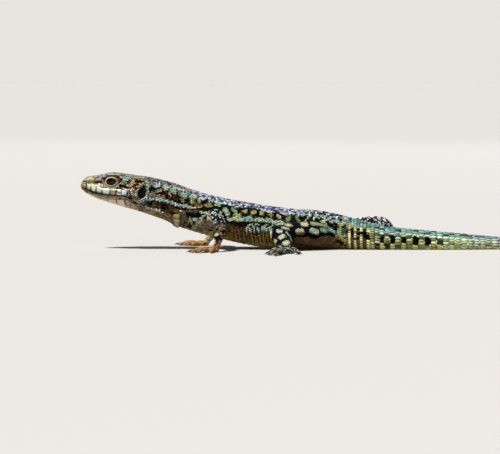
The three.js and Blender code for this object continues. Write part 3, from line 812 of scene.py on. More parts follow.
FOREARM_MARKS = [
    ("navy", 0.36, 29.9, 5.9, 30.5, 6.2), ("cream", 0.2, 29.2, 5.2, 29.3, 4.6),
    ("tan", 0.3, 31, 5.6, 31.1, 4.9), ("cream", 0.26, 29.4, 3.5, 30.2, 3.7),
    ("slate", 0.24, 30.3, 4.3, 30.6, 4.3), ("black", 0.28, 29.5, 2.8, 30.6, 3.1),
    ("cream", 0.22, 29.2, 1.5, 29.5, 2.4), ("navy", 0.2, 29.9, 1.5, 30.2, 2.4),
    ("orange", 0.3, 30.6, 1.5, 30.9, 2.2),
]
print("marks on the near legs:", len(THIGH_MARKS) + len(SHANK_MARKS) + len(FOREARM_MARKS))

# %% [markdown]
# ## Paint for the trunk
# Each part has a rule of its own, which works as a model painter does: an undercoat, then broad
# areas, then fine marks. The back's small scales have many colours; their lilac, pale blue and
# white are partly their own colour and partly painted highlights of sky light. The flank is black
# over ochre, the throat cream over a pale stripe, and the hip black with pale patches.

# %% Paint the back
def paint_back(lay, points, x, on_back, coarse, fine, wide):
    """Small scales of many colours: lilac and pale blue, with navy, violet and purple lumps. The
    lilac, pale blue and white are partly their colour and partly painted highlights of sky light.
    """
    blue, grain = fray(points, 0.55, 4), fray(points, 0.3, 21)
    dashes = fray(points * [0.45, 1, 1], 0.32, 33)
    lay(on_back, "lilac")
    lay(on_back * fade(27.0 - x, 0, 5) * 0.75, "drab")
    lay(on_back * fade(29.0 - x, 0, 7) * 0.55, "taupe")
    lay(on_back * fade(wide, 0.0, 0.4) * fade(x, 22, 26) * 0.5, "pink")
    lay(on_back * fade(x, 46, 53) * 0.7, "teal")
    calm = 0.2 + 0.8 * fade(x, 22, 29)
    # the pale blue and white specks are partly painted highlights of sky light on the scales
    lay(on_back * fade(-blue, 0.05, 0.2) * (0.9 - 0.3 * fade(x, 46, 53)) * calm, "sky")
    lay(on_back * fade(-grain, 0.14, 0.26) * 0.85 * calm, "white")
    lay(on_back * fade(x, 44, 50) * fade(dashes, 0.1, 0.22), "navy")
    lay(on_back * fade(x, 44, 50) * fade(-dashes, 0.22, 0.34) * 0.7, "mint")
    middle = fade(x, 22, 25) * fade(50 - x, 0, 4)
    lay(on_back * middle * fade(coarse - 0.3 * fine, 0.1, 0.25) * 0.9, "purple")
    lay(on_back * middle * fade(blue + 0.3 * coarse, 0.08, 0.22), "violet")
    lay(on_back * fade(blue, 0.2, 0.32), "navy")
    lay(on_back * fade(coarse + 0.7 * grain - 0.15 * calm, 0.1, 0.22) * 0.9, "black")


# %% Paint the flank, throat and hip
SIDE_STRIPE = [
    (13.6, 10.9), (16, 11.05), (17.8, 10.85), (19.5, 10.4), (20.3, 10.15), (21.2, 9.75),
    (22.2, 9.6), (23, 9.55), (24, 9.25), (25, 9),
]
DOT_ROW = [(14.1, 9.4), (15.9, 8.95), (17, 8.7), (17.9, 8.25), (18.7, 7.9)]
# places along the body, and the height of the ochre's upper edge or the depth of the back's edge
OCHRE_TO = ([15, 22, 26, 30, 36, 42, 47, 52, 58], [8.6, 8, 6, 6, 4.9, 3.9, 3.4, 3.2, 3])
BACK_EDGE = (
    [14, 18, 22, 26, 30, 32, 34, 38, 42, 46, 50, 54, 58],
    [0.9, 1.0, 0.8, 0.8, 1.2, 0.95, 1.3, 0.9, 1.15, 1.1, 1.0, 1.1, 0.8],
)
STRIPE_WIDE = ([14, 17, 20, 21, 23, 25], [0.3, 0.34, 0.4, 0.24, 0.42, 0.15])


def paint_trunk(points, x, out, z):
    colours, lay = undercoat(points, "black")
    back, belly = column("back", x), column("belly", x)
    share = (z - belly) / (back - belly)
    coarse, fine = fray(points, 0.9, 1), fray(points, 0.34, 2)
    wide, grain = fray(points, 2.6, 3), fray(points, 0.42, 22)
    fx = x + np.where(out > 0, 0.9, 0.0) * fade(x, 20, 26) + 0.16 * coarse + 0.16 * fine
    fz = z + 0.1 * coarse + 0.16 * grain
    # the flank is black above and ochre below; the brown and ochre low on the flank are partly its
    # colour and partly painted shade
    lay(fade(wide + fine * 0.8, 0.1, 0.5) * 0.6, "umber")
    low = fade(np.interp(x, *OCHRE_TO) - fz, -0.4, 0.7)
    lay(low, "brown")
    lay(low * fade(share, 0.34, 0.1) * 0.75, "ochre")
    lay(fade(share, 0.08, 0.0) * fade(x, 22, 26), "sand")
    plates = ripple(x + 0.2 * (z - 3) + 0.08 * coarse, 0.88)
    behind_arm = fade(x, 32, 35) * fade(50 - x, 0, 3)
    lay(behind_arm * fade(plates, 0.1, 0.7) * fade(z, 0.8, 2.2) * low * 0.9, "umber")
    lay(behind_arm * fade(-plates, 0.1, 0.7) * fade(z, 4.4, 2.4) * low * 0.75, "ochre")
    # pale net and pale ticks over the ochre
    net = fade(fx, 35.8, 36.6) * fade(42.6 - fx, 0, 0.8)
    net = net * fade(fz, 3.9, 4.5) * fade(5.9 - fz, 0, 0.4)
    lay(net, "black")
    web = net * fade(cells(points, 0.75, 2), 0.14, 0.26)
    lay(web, "sage")
    lay(web * fade(fx, 38, 39.5) * fade(fine, -0.2, 0.2), "turquoise")
    ticks = fade(plates, 0.3, -0.6) * fade(fz, 3.7, 4.2) * fade(5.2 - fz, 0, 0.6)
    lay(ticks * fade(x, 35.8, 36.4) * fade(42.2 - x, 0, 0.5) * 0.8, "frost")
    # throat and side of the neck; the umber band under the stripe and the ochre on the throat are
    # partly their colour and partly painted shade
    neck = fade(22.6 - x, 0, 1.0)
    stripe_at = line_height(x, SIDE_STRIPE)
    lay(neck * fade(stripe_at - fz, -0.1, 0.3), "brown")
    lay(neck * fade(stripe_at - fz, 0.6, 1.2) * fade(fine, 0.0, 0.3) * 0.5, "ochre")
    shade = fade(stripe_at - fz, 0.1, 0.5) * fade(1.7 + fz - stripe_at, 0, 0.8)
    lay(neck * shade * fade(x, 14, 15) * 0.9, "umber")
    dots_at = line_height(x, DOT_ROW)
    lay(neck * fade(dots_at - fz, -0.1, 0.4), "throat")
    lay(neck * fade(dots_at - fz, 0.0, 0.5) * fade(x, 12, 17) * 0.85, "ochre")
    lined = fade(ripple(x + 0.55 * (z - 8), 0.46), 0.3, 0.9) * fade(x, 15, 17.5)
    lay(neck * fade(dots_at - fz, 0.1, 0.5) * lined * 0.6, "brown")
    lay(stroke(x, z, 1.3, [(26.5, 5.2), (28.5, 5.0)], 0.6) * 0.8, "drab")
    lay(stroke(x, z, 1.3, [(24.0, 5.4), (28.5, 5.0)], 0.6) * 0.35, "sand")
    lay(stroke(x, z, 0.9, [(23.4, 5.6), (24.6, 5.0)], 0.6) * 0.6, "drab")
    nape = fade(x, 15.5, 17) * fade(27.5 - x, 0, 2) * fade(2.9 + z - back, 0, 0.4)
    lay(nape * fade(coarse + 0.6 * fine, -0.15, 0.1) * 0.8, "umber")
    lay_marks(lay, fx, fz, NECK_MARKS)
    lay_marks(lay, x + 0.08 * fine, z + 0.08 * grain, CHEST_MARKS)
    dots = fade(0.3 - np.abs(z - dots_at), 0, 0.08) * fade(ripple(x, 0.6), -0.9, -0.3)
    lay(dots * fade(19 - x, 0, 0.3) * fade(x, 13.8, 14.2), "white")
    # the back, the hip and the thigh's root
    edge = back - np.interp(x, *BACK_EDGE)
    paint_back(lay, points, x, fade(fz - edge, -0.1, 0.15), coarse, fine, wide)
    rim = fade(0.24 - np.abs(z - edge + 0.05 - 0.15 * coarse), -0.05, 0.1)
    lay(rim * fade(wide + 0.6 * coarse, -0.15, 0.1) * fade(56 - x, 0, 2), "frost")
    lay_marks(lay, fx, fz, FLANK_MARKS)
    hip = fade(fx, 48.4, 49.2) * fade(59 - x, 0, 1) * fade(fz, 4.6, 5.0)
    lay(hip * fade(edge + 0.1 - fz, -0.1, 0.1), "black")
    lay_marks(lay, fx, fz, HIP_MARKS)
    lay(fade(3.4 - fz, 0, 0.5) * fade(x, 45, 46.5) * fade(59 - x, 0, 3) * 0.9, "rust")
    lay(fade(3.4 - fz, 0, 0.5) * fade(x, 45, 46.5) * fade(coarse, -0.1, 0.3) * 0.4, "tan")
    lay_marks(lay, fx, fz, THIGH_MARKS, fade(x, 45.5, 46.5))
    fold = stroke(fx, fz, 0.8, [(57.0, 4.0), (58.2, 2.6), (59.0, 1.8)], 0.5)
    lay(fold, "sage")
    lay(fold * fade(4.0 - fz, 0, 1.5) * 0.6, "lime")
    ribs = fade(ripple(x + 0.15 * z, 0.5), 0.0, 0.5) * fade(x, 56.9, 57.3)
    lay(fold * ribs * 0.85, "ink")
    lay(stroke(fx, fz, 0.4, [(55.4, 2.4), (57.4, 1.5)], 0.5), "umber")
    gap = np.abs(z + 0.14 * fine - stripe_at)
    stripe = fade(np.interp(x, *STRIPE_WIDE) - gap, -0.05, 0.06) * fade(25.2 - x, 0, 0.3)
    lay(stripe * (x > 13.8), "turquoise")
    lay(stripe * (x > 13.8) * fade(grain, -0.25, 0.05) * 0.85, "frost")
    return colours


# %% [markdown]
# ## Paint for the tail and the legs
# The tail is green-blue above and yellow-green below, with a black block on every other whorl, and
# fades to grey towards its tip. The arms are black with fine white dots and orange hands. The hind
# legs carry pale spots on black. The spots are cells of Voronoi noise, because such spots are
# irregular but never touch.

# %% Paint the tail
def paint_tail(points, x, out, z):
    colours, lay = undercoat(points, "teal")
    back, belly = column("back", x), column("belly", x)
    share = (z - belly) / (back - belly)
    number = np.searchsorted(WHORLS, x)
    block = (number % 2) == FIRST_BLOCK
    within = (x - WHORLS[np.clip(number - 1, 0, None)]) / np.interp(x, *WHORL_LENGTHS.T)
    fine, coarse, grain = fray(points, 0.5, 6), fray(points, 1.4, 7), fray(points, 0.7, 23)
    far = fade(x, 84, 96)
    lay(fade(coarse, -0.2, 0.3) * 0.6, "turquoise")
    lay(fade(fine, 0.14, 0.24) * (0.9 - 0.5 * far), "navy")
    # the frost specks on the tail's top are partly painted glints
    lay(fade(-fine, 0.26, 0.4) * 0.5, "frost")
    lay(fade(grain, 0.15, 0.35) * 0.5, "sage")
    side = fade(0.8 - share + 0.05 * fine, 0, 0.1)
    lay(side, "mint")
    lay(side * fade(grain, -0.1, 0.2) * 0.7, "sage")
    lay(side * fade(0.66 - share, 0, 0.1) * fade(fine, -0.1, 0.2) * 0.6, "lime")
    sunny = side * fade(0.72 - share, 0, 0.1) * fade(84 - x, 0, 16)
    lay(sunny * fade(grain + 0.5 * fine, -0.1, 0.15) * 0.7, "lemon")
    lay(side * fade(-fine, 0.08, 0.2) * fade(share, 0.5, 0.6) * 0.8, "cream")
    height = np.interp(x, [60, 64, 80, 90], [0.64, 0.6, 0.56, 0.5])
    dark = fade(0.19 - np.abs(share - height + 0.1), -0.02, 0.03) * fade(85 - x, 0, 8)
    lay(dark * block * fade(within, -0.1, 0.1), "black")
    step = fade(0.06 - np.abs(share - height - 0.05), -0.02, 0.02) * fade(84 - x, 0, 8)
    lay(step * ~block * 0.9, "ink")
    lay(dark * ~block * fade(fine, 0.05, 0.25) * 0.6, "moss")
    low = fade(height - 0.27 - share, -0.03, 0.03)
    lay(low * block, "lemon")
    lay(low * block * fade(grain, 0.0, 0.3) * 0.7, "lime")
    lay(low * block * fade(fine, 0.0, 0.2) * 0.5, "pearl")
    lay(low * ~block * fade(x, 61, 63) * fade(80 - x, 0, 14), "ink")
    lay(low * ~block * fade(grain, 0.05, 0.25) * 0.8, "ochre")
    lay(fade(0.16 - share, 0, 0.1) * fade(x, 62, 70) * 0.7, "sand")
    ringed = fade(64.5 - x, 0, 2.0) * fade(0.82 - share, 0, 0.12)
    lay(ringed, "cream")
    lay(ringed * fade(x, 58, 61) * 0.6, "lemon")
    lay(ringed * fade(coarse + fine, 0.0, 0.4) * 0.5, "lime")
    lay(ringed * fade(0.3 - share, 0, 0.3) * 0.7, "ochre")
    lay(ringed * (number % 2 == 0) * 0.9, "umber")
    lay(ringed * (number % 2 == 0) * fade(share, 0.3, 0.5) * fade(fine, -0.2, 0.0), "black")
    lay_marks(lay, x + 0.1 * fine, z, [
        ("black", 0.4, 59.2, 4.2, 59.8, 3.9), ("black", 0.35, 61.4, 3.5, 61.8, 3.3),
        ("black", 0.3, 60.3, 2.6, 60.6, 2.5), ("black", 0.32, 62.7, 3.3, 62.8, 2.4),
        ("lime", 0.3, 58.3, 4.9, 58.8, 5.3),
    ], fade(x, 58, 59))
    lay(far * 0.55 * fade(share, 0.2, 0.5), "lilac")
    lay(fade(x, 95, 120) * 0.45, "drab")
    # painted light: the tail's side below its top is made brighter, most between 72 and 84 mm
    painted_side_light = 0.25 + 0.25 * fade(x, 72, 76) * fade(84 - x, 0, 4)
    colours *= (1 + painted_side_light * fade(0.9 - share, 0, 0.1) * fade(100 - x, 0, 15))[:, None]
    return colours


# %% Paint the legs
def paint_limb(points, number, share):
    colours, lay = undercoat(points, "black" if number <= 2 else "ink")
    x, z = points[:, 0], points[:, 2]
    near = number in (1, 3)
    fine = fray(points, 0.4, 24)
    if number <= 2:
        above = fade(0.6 - share, 0, 0.15) * fade(share, 0.06, 0.12)
        lay(above * fade(fray(points, 0.4, number), 0.05, 0.2) * 0.4, "slate")
        lay(above * fade(cells(points, 0.62, 8), 0.26, 0.33) * 0.95, "white")
        banded = fade(cells(points, 0.95, number + 3), 0.16, 0.28) * fade(share, 0.5, 0.62)
        lay(banded * 0.7, "sand")
        if near:
            lay_marks(lay, x + 0.1 * fine, z, FOREARM_MARKS, fade(share, 0.4, 0.5))
        # the cream on the front edge of the forearms is a painted highlight
        ahead = fade(np.interp(share, [0, 0.5, 0.8, 1], [-1, 29.6, 29.2, 28.9]) - x, 0.1, 0.5)
        lay(ahead * fade(share, 0.6, 0.75) * 0.9, "cream")
        hand = fade(share, 0.95, 1.1)
        lay(hand, "orange")
        lay(hand * fade(fray(points, 0.8, 9), 0.0, 0.25) * 0.75, "sand")
        lay(hand * fade(fray(points, 0.6, 10), 0.22, 0.34), "rust")
        lay(fade(share, 1.35, 1.7) * fade(fine, -0.2, 0.3) * 0.7, "sand")
        return colours
    if near:
        unseen = fade(share, 0.97, 1.06)
        shank = fade(46.6 - x, 0, 0.3) * (1 - unseen)
        lay_marks(lay, x + 0.05 * fine, z, SHANK_MARKS, shank)
        under = fade(3.3 - z, 0, 0.3) * fade(x, 46.4, 46.9) * (1 - unseen)
        lay(under, "rust")
        lay(under * fade(fray(points, 1.2, 12), 0.0, 0.3) * 0.5, "tan")
        high = fade(z, 5.2, 5.5)
        lay_marks(lay, x + 0.1 * fine, z + 0.06 * fine, FLANK_MARKS + HIP_MARKS, high)
        lay_marks(lay, x + 0.1 * fine, z + 0.06 * fine, THIGH_MARKS, 1 - shank)
    else:
        unseen = np.ones(len(x))
    rim_at = 0.14 if near else 0.2
    ring = fade(cells(points, 1.35 if near else 1.15, number), rim_at, rim_at + 0.09) * unseen
    lay(ring, "pearl" if near else "white")
    lay(ring * fade(fray(points, 1.6, 11), -0.1, 0.3) * (0.2 if near else 0.7), "lilac")
    if not near:
        lay((1 - ring) * fade(fray(points, 0.9, 15), 0.0, 0.2) * 0.4, "purple")
    foot = fade(share, 1.05, 1.2)
    lay(foot * 0.75, "ink")
    lay(foot * fade(cells(points, 0.8, 7), 0.14, 0.25) * 0.9, "grey")
    lay(foot * fade(cells(points, 0.8, 7), 0.3, 0.45) * 0.7, "pearl")
    return colours


# %% [markdown]
# ## Paint for the head
# The crown is plain brown. The side has a banded temple, white lips parted by dark seams, a dark
# hollow round the eye and a pale throat. The seams are where the lip shields will meet, so the
# paint and the shields share one list of places.

# %% Marks of the head
HEAD_MARKS = [
    # snout and brow; the pale marks along the top line are partly their colour and partly painted
    # highlights, and the black at the nostril is painted shade in its pit
    ("frost", 0.26, 1.5, 15.3, 2.2, 15.4), ("sand", 0.26, 2.6, 15.6, 3.1, 15.35),
    ("pink", 0.22, 4.1, 15.7, 4.7, 15.6), ("lilac", 0.24, 4.9, 15.9, 5.8, 15.95),
    ("mint", 0.3, 6.6, 16.3, 7.3, 16.35), ("frost", 0.3, 7.6, 16.55, 8.4, 16.45),
    ("umber", 0.16, 9.2, 16.25, 10, 16.15), ("frost", 0.2, 10.3, 16.2, 10.6, 16.2),
    ("olive", 0.34, 1.7, 14.8, 3.6, 14.8), ("drab", 0.2, 3.9, 15.15, 4.9, 15.1),
    ("moss", 0.14, 1.7, 14.55, 3.2, 14.6), ("black", 0.3, 3.75, 14.62, 4.7, 14.72),
    ("umber", 0.14, 4.6, 14.7, 5.1, 14.8), ("olive", 0.14, 4.9, 15.3, 6, 15.8, 6.8, 16.05),
    ("black", 0.24, 1.1, 14.8, 1.2, 14.84), ("brown", 0.1, 1.4, 14.3, 1.8, 14),
    # temple
    ("umber", 0.24, 8.2, 14.9, 9.2, 14.95), ("black", 0.24, 8.5, 14.5, 8.7, 14.1),
    ("black", 0.38, 9, 13.95, 9.6, 13.85), ("black", 0.3, 10, 13.7, 11, 13.6),
    ("black", 0.32, 9.8, 14.95, 11.3, 14.9), ("cream", 0.24, 9.1, 15.6, 9.5, 15.2),
    ("turquoise", 0.2, 9.6, 15.6, 11.8, 15.5), ("aqua", 0.24, 9.9, 15.3, 10.5, 15.2),
    ("frost", 0.14, 10.6, 15.6, 11.6, 15.5), ("tan", 0.2, 11.5, 15.3, 12.2, 15.2),
    ("drab", 0.2, 12.2, 15.6, 14, 15.5), ("black", 0.34, 12.3, 14.9, 13.3, 14.8),
    ("black", 0.26, 13.7, 14.8, 14, 14.7), ("umber", 0.24, 11.9, 14, 12.9, 14.1),
    ("sand", 0.28, 11.3, 14.55, 11.9, 14.5), ("sand", 0.2, 9.7, 14.7, 10.1, 14.6),
    ("blush", 0.26, 10.7, 14.05, 11.4, 13.95), ("rust", 0.2, 11.5, 13.7, 12.2, 13.7),
    ("pink", 0.16, 13.1, 13.9, 13.6, 13.85), ("rust", 0.14, 12.9, 13.6, 13.7, 13.55),
    ("umber", 0.12, 5.2, 15.3, 6, 15.9), ("umber", 0.16, 7.9, 16.1, 8.7, 15.8, 9.2, 15.3),
    ("throat", 0.24, 4.5, 14.15, 5.5, 13.9),
    # cheek
    ("umber", 0.15, 8.2, 13.4, 8.6, 13.4), ("black", 0.18, 8.1, 12.65, 8.2, 12.65),
    ("black", 0.2, 10.5, 12.2, 10.6, 12.2), ("black", 0.16, 8.9, 11.2, 9.3, 11.25),
    ("black", 0.24, 11, 11.2, 11.3, 11.2), ("umber", 0.2, 12.2, 13.4, 12.4, 13.3),
    ("white", 0.2, 9, 12.9, 10.6, 12.95), ("frost", 0.26, 9.4, 12.5, 10, 12.4),
    ("cream", 0.16, 12.2, 12.5, 12.3, 12.4), ("cream", 0.16, 11.4, 12.1, 11.6, 12.1),
    ("cream", 0.14, 12.2, 11.7, 12.25, 11.7), ("umber", 0.16, 11.7, 12.5, 12, 12.3),
    ("tan", 0.4, 12, 11.3, 12.5, 11.1), ("black", 0.26, 12.3, 10.15, 12.7, 10.1),
    ("umber", 0.18, 11.6, 10.4, 11.9, 10.3), ("brown", 0.12, 10.9, 11.8, 11.6, 11.7),
    ("sand", 0.2, 12, 10.7, 12.4, 10.6), ("olive", 0.12, 11, 11.6, 11.2, 11.5),
    ("turquoise", 0.36, *EAR_RIM), ("frost", 0.27, *EAR_RIM),
]
SUTURES = [1.6, 2.6, 3.75, 5.05, 6.75, 8.0, 9.2, 10.4]
# where the lips end above, and how high their dark foot reaches
LIPS_TO = ([0, 1.8, 3.2, 4.2, 5.2, 7, 9], [14.4, 14.4, 14.2, 13.9, 13.5, 13.45, 13.3])
LIP_FOOT = ([0, 1.5, 3, 5, 8], [0.9, 0.7, 0.5, 0.4, 0.3])
print("marks on the head:", len(HEAD_MARKS))


# %% Paint the head
def paint_head(points, x, out, z):
    colours, lay = undercoat(points, "drab")
    flank = np.abs(out) / column("half", x)
    side = fade(flank, 0.55, 0.72)
    coarse, fine = fray(points, 0.8, 13), fray(points, 0.36, 14)
    fx, fz = x + 0.07 * coarse + 0.04 * fine, z + 0.06 * fine
    lay(fade(coarse, -0.3, 0.5) * 0.35, "lilac")
    lay(fade(6.5 - x, 0, 1.5) * 0.35, "sand")
    lay(fade(7.5 - x, 0, 2.0) * fade(fine + coarse, -0.2, 0.2) * 0.6, "lilac")
    lay(fade(-coarse - 0.3 * fine, 0.0, 0.5) * 0.3, "moss")
    lay(fade(fray(points, 0.24, 31), 0.16, 0.3) * 0.75, "umber")
    # temple
    temple = fade(15.5 - fz, 0, 0.2) * fade(x, 7.5, 8.5) * fade(fz, 12.9, 13.1) * side
    lay(temple, "tan")
    lay(temple * fade(fine + 0.5 * coarse, 0.05, 0.2) * 0.7, "cream")
    lay(temple * fade(-fine, 0.05, 0.2) * 0.9, "umber")
    cheek = fade(13.5 - 0.02 * x - fz, 0, 0.2) * fade(fz, 11.5, 11.8) * fade(x, 6.4, 7.2) * side
    lay(cheek, "grey")
    lay(cheek * fade(coarse + fine, -0.15, 0.15), "white")
    lay(cheek * fade(-coarse - 0.4 * fine, 0.22, 0.34) * 0.85, "umber")
    lower_cheek = cheek * fade(12.6 - fz, 0, 0.5) * fade(x, 8.2, 9.0) * fade(13.0 - x, 0, 0.6)
    lay(lower_cheek * 0.6, "moss")
    # lips, their pale upper edge and the dark feet of their sutures
    lip_top = np.interp(x, *LIPS_TO)
    lips = fade(lip_top - fz, 0, 0.1) * fade(8.8 - x, 0, 0.8) * side
    lay(lips, "grey")
    lay(lips * 0.5, "mint")
    lay(lips * 0.16, "cream")
    lay(lips * fade(x, 4.7, 5.2) * fade(7.0 - x, 0, 0.4) * 0.7, "frost")
    lay(lips * fade(x, 6.6, 6.9) * fade(9.6 - x, 0, 1.4) * 0.8, "drab")
    lay(lips * fade(x, 1.4, 1.8) * fade(0.42 - (lip_top - fz), 0, 0.12), "white")
    lay(fade(1.7 - x, 0, 0.3) * fade(14.6 - z, 0, 0.2) * 0.85, "sand")
    lay(fade(1.9 - x, 0, 0.3) * fade(fine, 0.12, 0.25) * 0.6, "brown")
    foot = mouth_height(x) + np.interp(x, *LIP_FOOT)
    lay(lips * fade(foot - fz, 0, 0.25) * 0.85, "moss")
    gap = np.min(np.abs(fx[:, None] - np.array(SUTURES)), axis=1)
    spread = 0.16 + 0.22 * fade(foot + 0.4 - fz, 0, 0.5)
    seams = lips * fade(spread - gap, 0, 0.12) * fade(lip_top - 0.35 - fz, 0, 0.4)
    lay(seams * 0.8, "brown")
    # mouth line and lower jaw
    below = mouth_height(x) - fz
    mouth = fade(12.2 - x, 0, 0.8)
    lay(fade(below, -0.2, 0.0) * mouth, "drab")
    lay(fade(below, -0.2, 0.0) * mouth * 0.45, "moss")
    lay(fade(below, 0.15, 0.45) * mouth * 0.8, "drab")
    # a dark line along the mouth: painted shade in the groove between the lips
    broken = fade(ripple(x - 5.0, 1.2), -0.5, 0.5) * 0.6 + 0.4
    lay(fade(0.22 - np.abs(below), 0, 0.14) * fade(11.6 - x, 0, 0.6) * broken, "umber")
    jaw = fade(below, 0.5, 0.8)
    lay(jaw * fade(13.4 - x, 0, 1.2), "throat")
    lay(jaw * fade(x, 10.5, 12.5) * fade(coarse + fine, -0.1, 0.2) * 0.6, "tan")
    curve = 0.55 * (11.4 - 0.05 * (x - 6) - z)
    for start, end in ((6.1, 1.3), (8.05, 1.6), (9.8, 1.6)):
        line = fade(0.13 - np.abs(x - start - curve * curve * 0.5), 0, 0.07)
        lay(line * fade(below, 0.4, 0.6) * fade(end + 0.4 - below, 0, 0.3) * side, "umber")
    lay_marks(lay, fx, fz, HEAD_MARKS, side)
    hollow = fade(1.35 - eye_distance(x, z), 0, 0.2) * side
    lay(hollow, "brown")
    # the skin inside the ear opening is painted black, as painted shade of the pit
    ear = ear_distance(x, z)
    lay(fade(1.0 - ear, -0.05, 0.08) * side, "black")
    return colours


# %% One rule for any point
# each part's start and end along the body, and how long the change from one to the next takes
OVERLAP = 1.4
RULES = [(-5, 15, paint_head), (13.6, 61, paint_trunk), (57.5, 200, paint_tail)]


def markings(points, place=None):
    """The colour of each point, from the rules of the part that it belongs to."""
    place = place or locate(points)
    colours = np.zeros((len(points), 3))
    part, x, out, z = place["part"], place["x"], place["out"], place["z"]
    for low, high, rule in RULES:
        chosen = np.flatnonzero((part == 0) & (x >= low) & (x < high))
        if len(chosen):
            made = rule(points[chosen], x[chosen], out[chosen], z[chosen])
            mix = fade(x[chosen], low, low + OVERLAP)[:, None] if low > 0 else 1.0
            colours[chosen] = colours[chosen] * (1 - mix) + made * mix
    for number in range(1, 5):
        chosen = np.flatnonzero(part == number)
        if len(chosen):
            colours[chosen] = paint_limb(points[chosen], number, place["share"][chosen])
    return colours


skin_colours = markings(skin_points, skin_place)
print("mean colour of the skin:", skin_colours.mean(axis=0).round(3))

# %% [markdown]
# ## The scale, and how it is repeated
# A small scale is a low dome with a rim: a disc that is extruded, inset and drawn up in the
# middle. It is made once. Its points are then repeated as an array at every root, turned so that
# its free edge points to the tail, and joined into one mesh for each region. Instances would be
# lighter, but a joined mesh is what a museum's printer or a game can use.

# %% Templates
UNDER = 0.6
HUB = 0.12


def template(sides, squareness, crown, keel=0.0, tilt=0.25, inset=0.3):
    """A closed scale of half length, half width and height 1, its free edge towards +X."""
    bm = bmesh.new()
    bmesh.ops.create_circle(bm, cap_ends=True, segments=sides, radius=1)
    turn = math.pi / sides
    bmesh.ops.rotate(bm, verts=bm.verts, cent=(0, 0, 0), matrix=Matrix.Rotation(turn, 3, "Z"))
    for vert in bm.verts:
        reach = (abs(vert.co.x) ** squareness + abs(vert.co.y) ** squareness) ** (1 / squareness)
        vert.co.xy /= reach
    base = bm.faces[:]
    bmesh.ops.translate(bm, verts=bm.verts, vec=(0, 0, -UNDER))
    top = bmesh.ops.extrude_face_region(bm, geom=base, use_keep_orig=True)["geom"]
    verts = [part for part in top if isinstance(part, bmesh.types.BMVert)]
    bmesh.ops.translate(bm, verts=verts, vec=(0, 0, UNDER + crown))
    face = [part for part in top if isinstance(part, bmesh.types.BMFace)]
    bmesh.ops.inset_region(bm, faces=face, thickness=inset, depth=0)
    bmesh.ops.translate(bm, verts=face[0].verts[:], vec=(0, 0, 1 - crown))
    hub = bmesh.ops.poke(bm, faces=face)["verts"]
    bmesh.ops.translate(bm, verts=hub, vec=(0, 0, HUB))
    for vert in bm.verts:
        if vert.co.z > 0:
            vert.co.z *= 1 + tilt * vert.co.x + keel * max(0, 1 - 2.2 * abs(vert.co.y))
    bmesh.ops.recalc_face_normals(bm, faces=bm.faces)
    points, faces = arrays(bm)
    rim = np.clip(np.max(np.abs(points[:, :2]), axis=1) ** 2, 0, 1)
    rim[points[:, 2] < 0] = 1
    return {"points": points, "faces": faces, "rim": rim}


BEAD = template(8, 2.2, 0.45)
FLAT_SCALE = template(8, 3.2, 0.6, tilt=0.35)
KEELED = template(8, 4.0, 0.5, keel=0.55, tilt=0.5, inset=0.35)
print("a bead has", len(BEAD["faces"]), "faces, a keeled scale", len(KEELED["faces"]))


# %% [markdown]
# ## Finding a place for each scale
# Rows of scales meet at the shoulder, the hip and the collar, where they would cut through each
# other. Testing each new scale against all others would be slow. So a grid of cubes remembers
# which roots lie in which cube, and only the cubes round a new scale are searched.

# %% Roots already taken
class Ground:
    """The places that have a scale, so that the next ones find free skin."""

    cell = 0.5

    def __init__(self):
        self.taken = {}

    def key(self, point):
        return tuple(int(math.floor(value / self.cell)) for value in point)

    def add(self, point, radius):
        self.taken.setdefault(self.key(point), []).append((*point, radius))

    def free(self, point, radius):
        i, j, k = self.key(point)
        for di in (-1, 0, 1):
            for dj in (-1, 0, 1):
                for dk in (-1, 0, 1):
                    for x, y, z, other in self.taken.get((i + di, j + dj, k + dk), ()):
                        gap = (point[0] - x) ** 2 + (point[1] - y) ** 2 + (point[2] - z) ** 2
                        if gap < (radius + other) ** 2:
                            return False
        return True


ground = Ground()
COATS = []
ROOM = 0.8
LOWEST = 0.06


def flattened(ways, normals):
    """Directions made to lie along the skin, with length 1."""
    ways = ways - normals * np.sum(ways * normals, axis=1)[:, None]
    return ways / (np.linalg.norm(ways, axis=1)[:, None] + 1e-9)


def settle(points, ways, size, charts, reach=0.28, crowd=True):
    """Put scales on the skin where it is near and free. Each has a half length, a half width
    and a height, and a place on the chart of its region."""
    kept, on_skin, normals = [], [], []
    for i, point in enumerate(points):
        spot_there, normal, _, gap = skin_tree.find_nearest(point)
        if gap > reach or spot_there.z < LOWEST:
            continue
        radius = ROOM * 0.5 * (size[i][0] + size[i][1])
        if crowd and not ground.free(spot_there, radius):
            continue
        kept.append(i)
        on_skin.append(spot_there)
        normals.append(normal)
    on_skin, normals = np.array(on_skin), np.array(normals)
    for i, point in zip(kept, on_skin):
        ground.add(point, ROOM * 0.5 * (size[i][0] + size[i][1]))
    return {
        "root": on_skin, "normal": normals, "along": flattened(np.asarray(ways)[kept], normals),
        "size": np.asarray(size)[kept], "chart": np.asarray(charts)[kept],
    }


print("a scale keeps", ROOM, "of its size free of others")


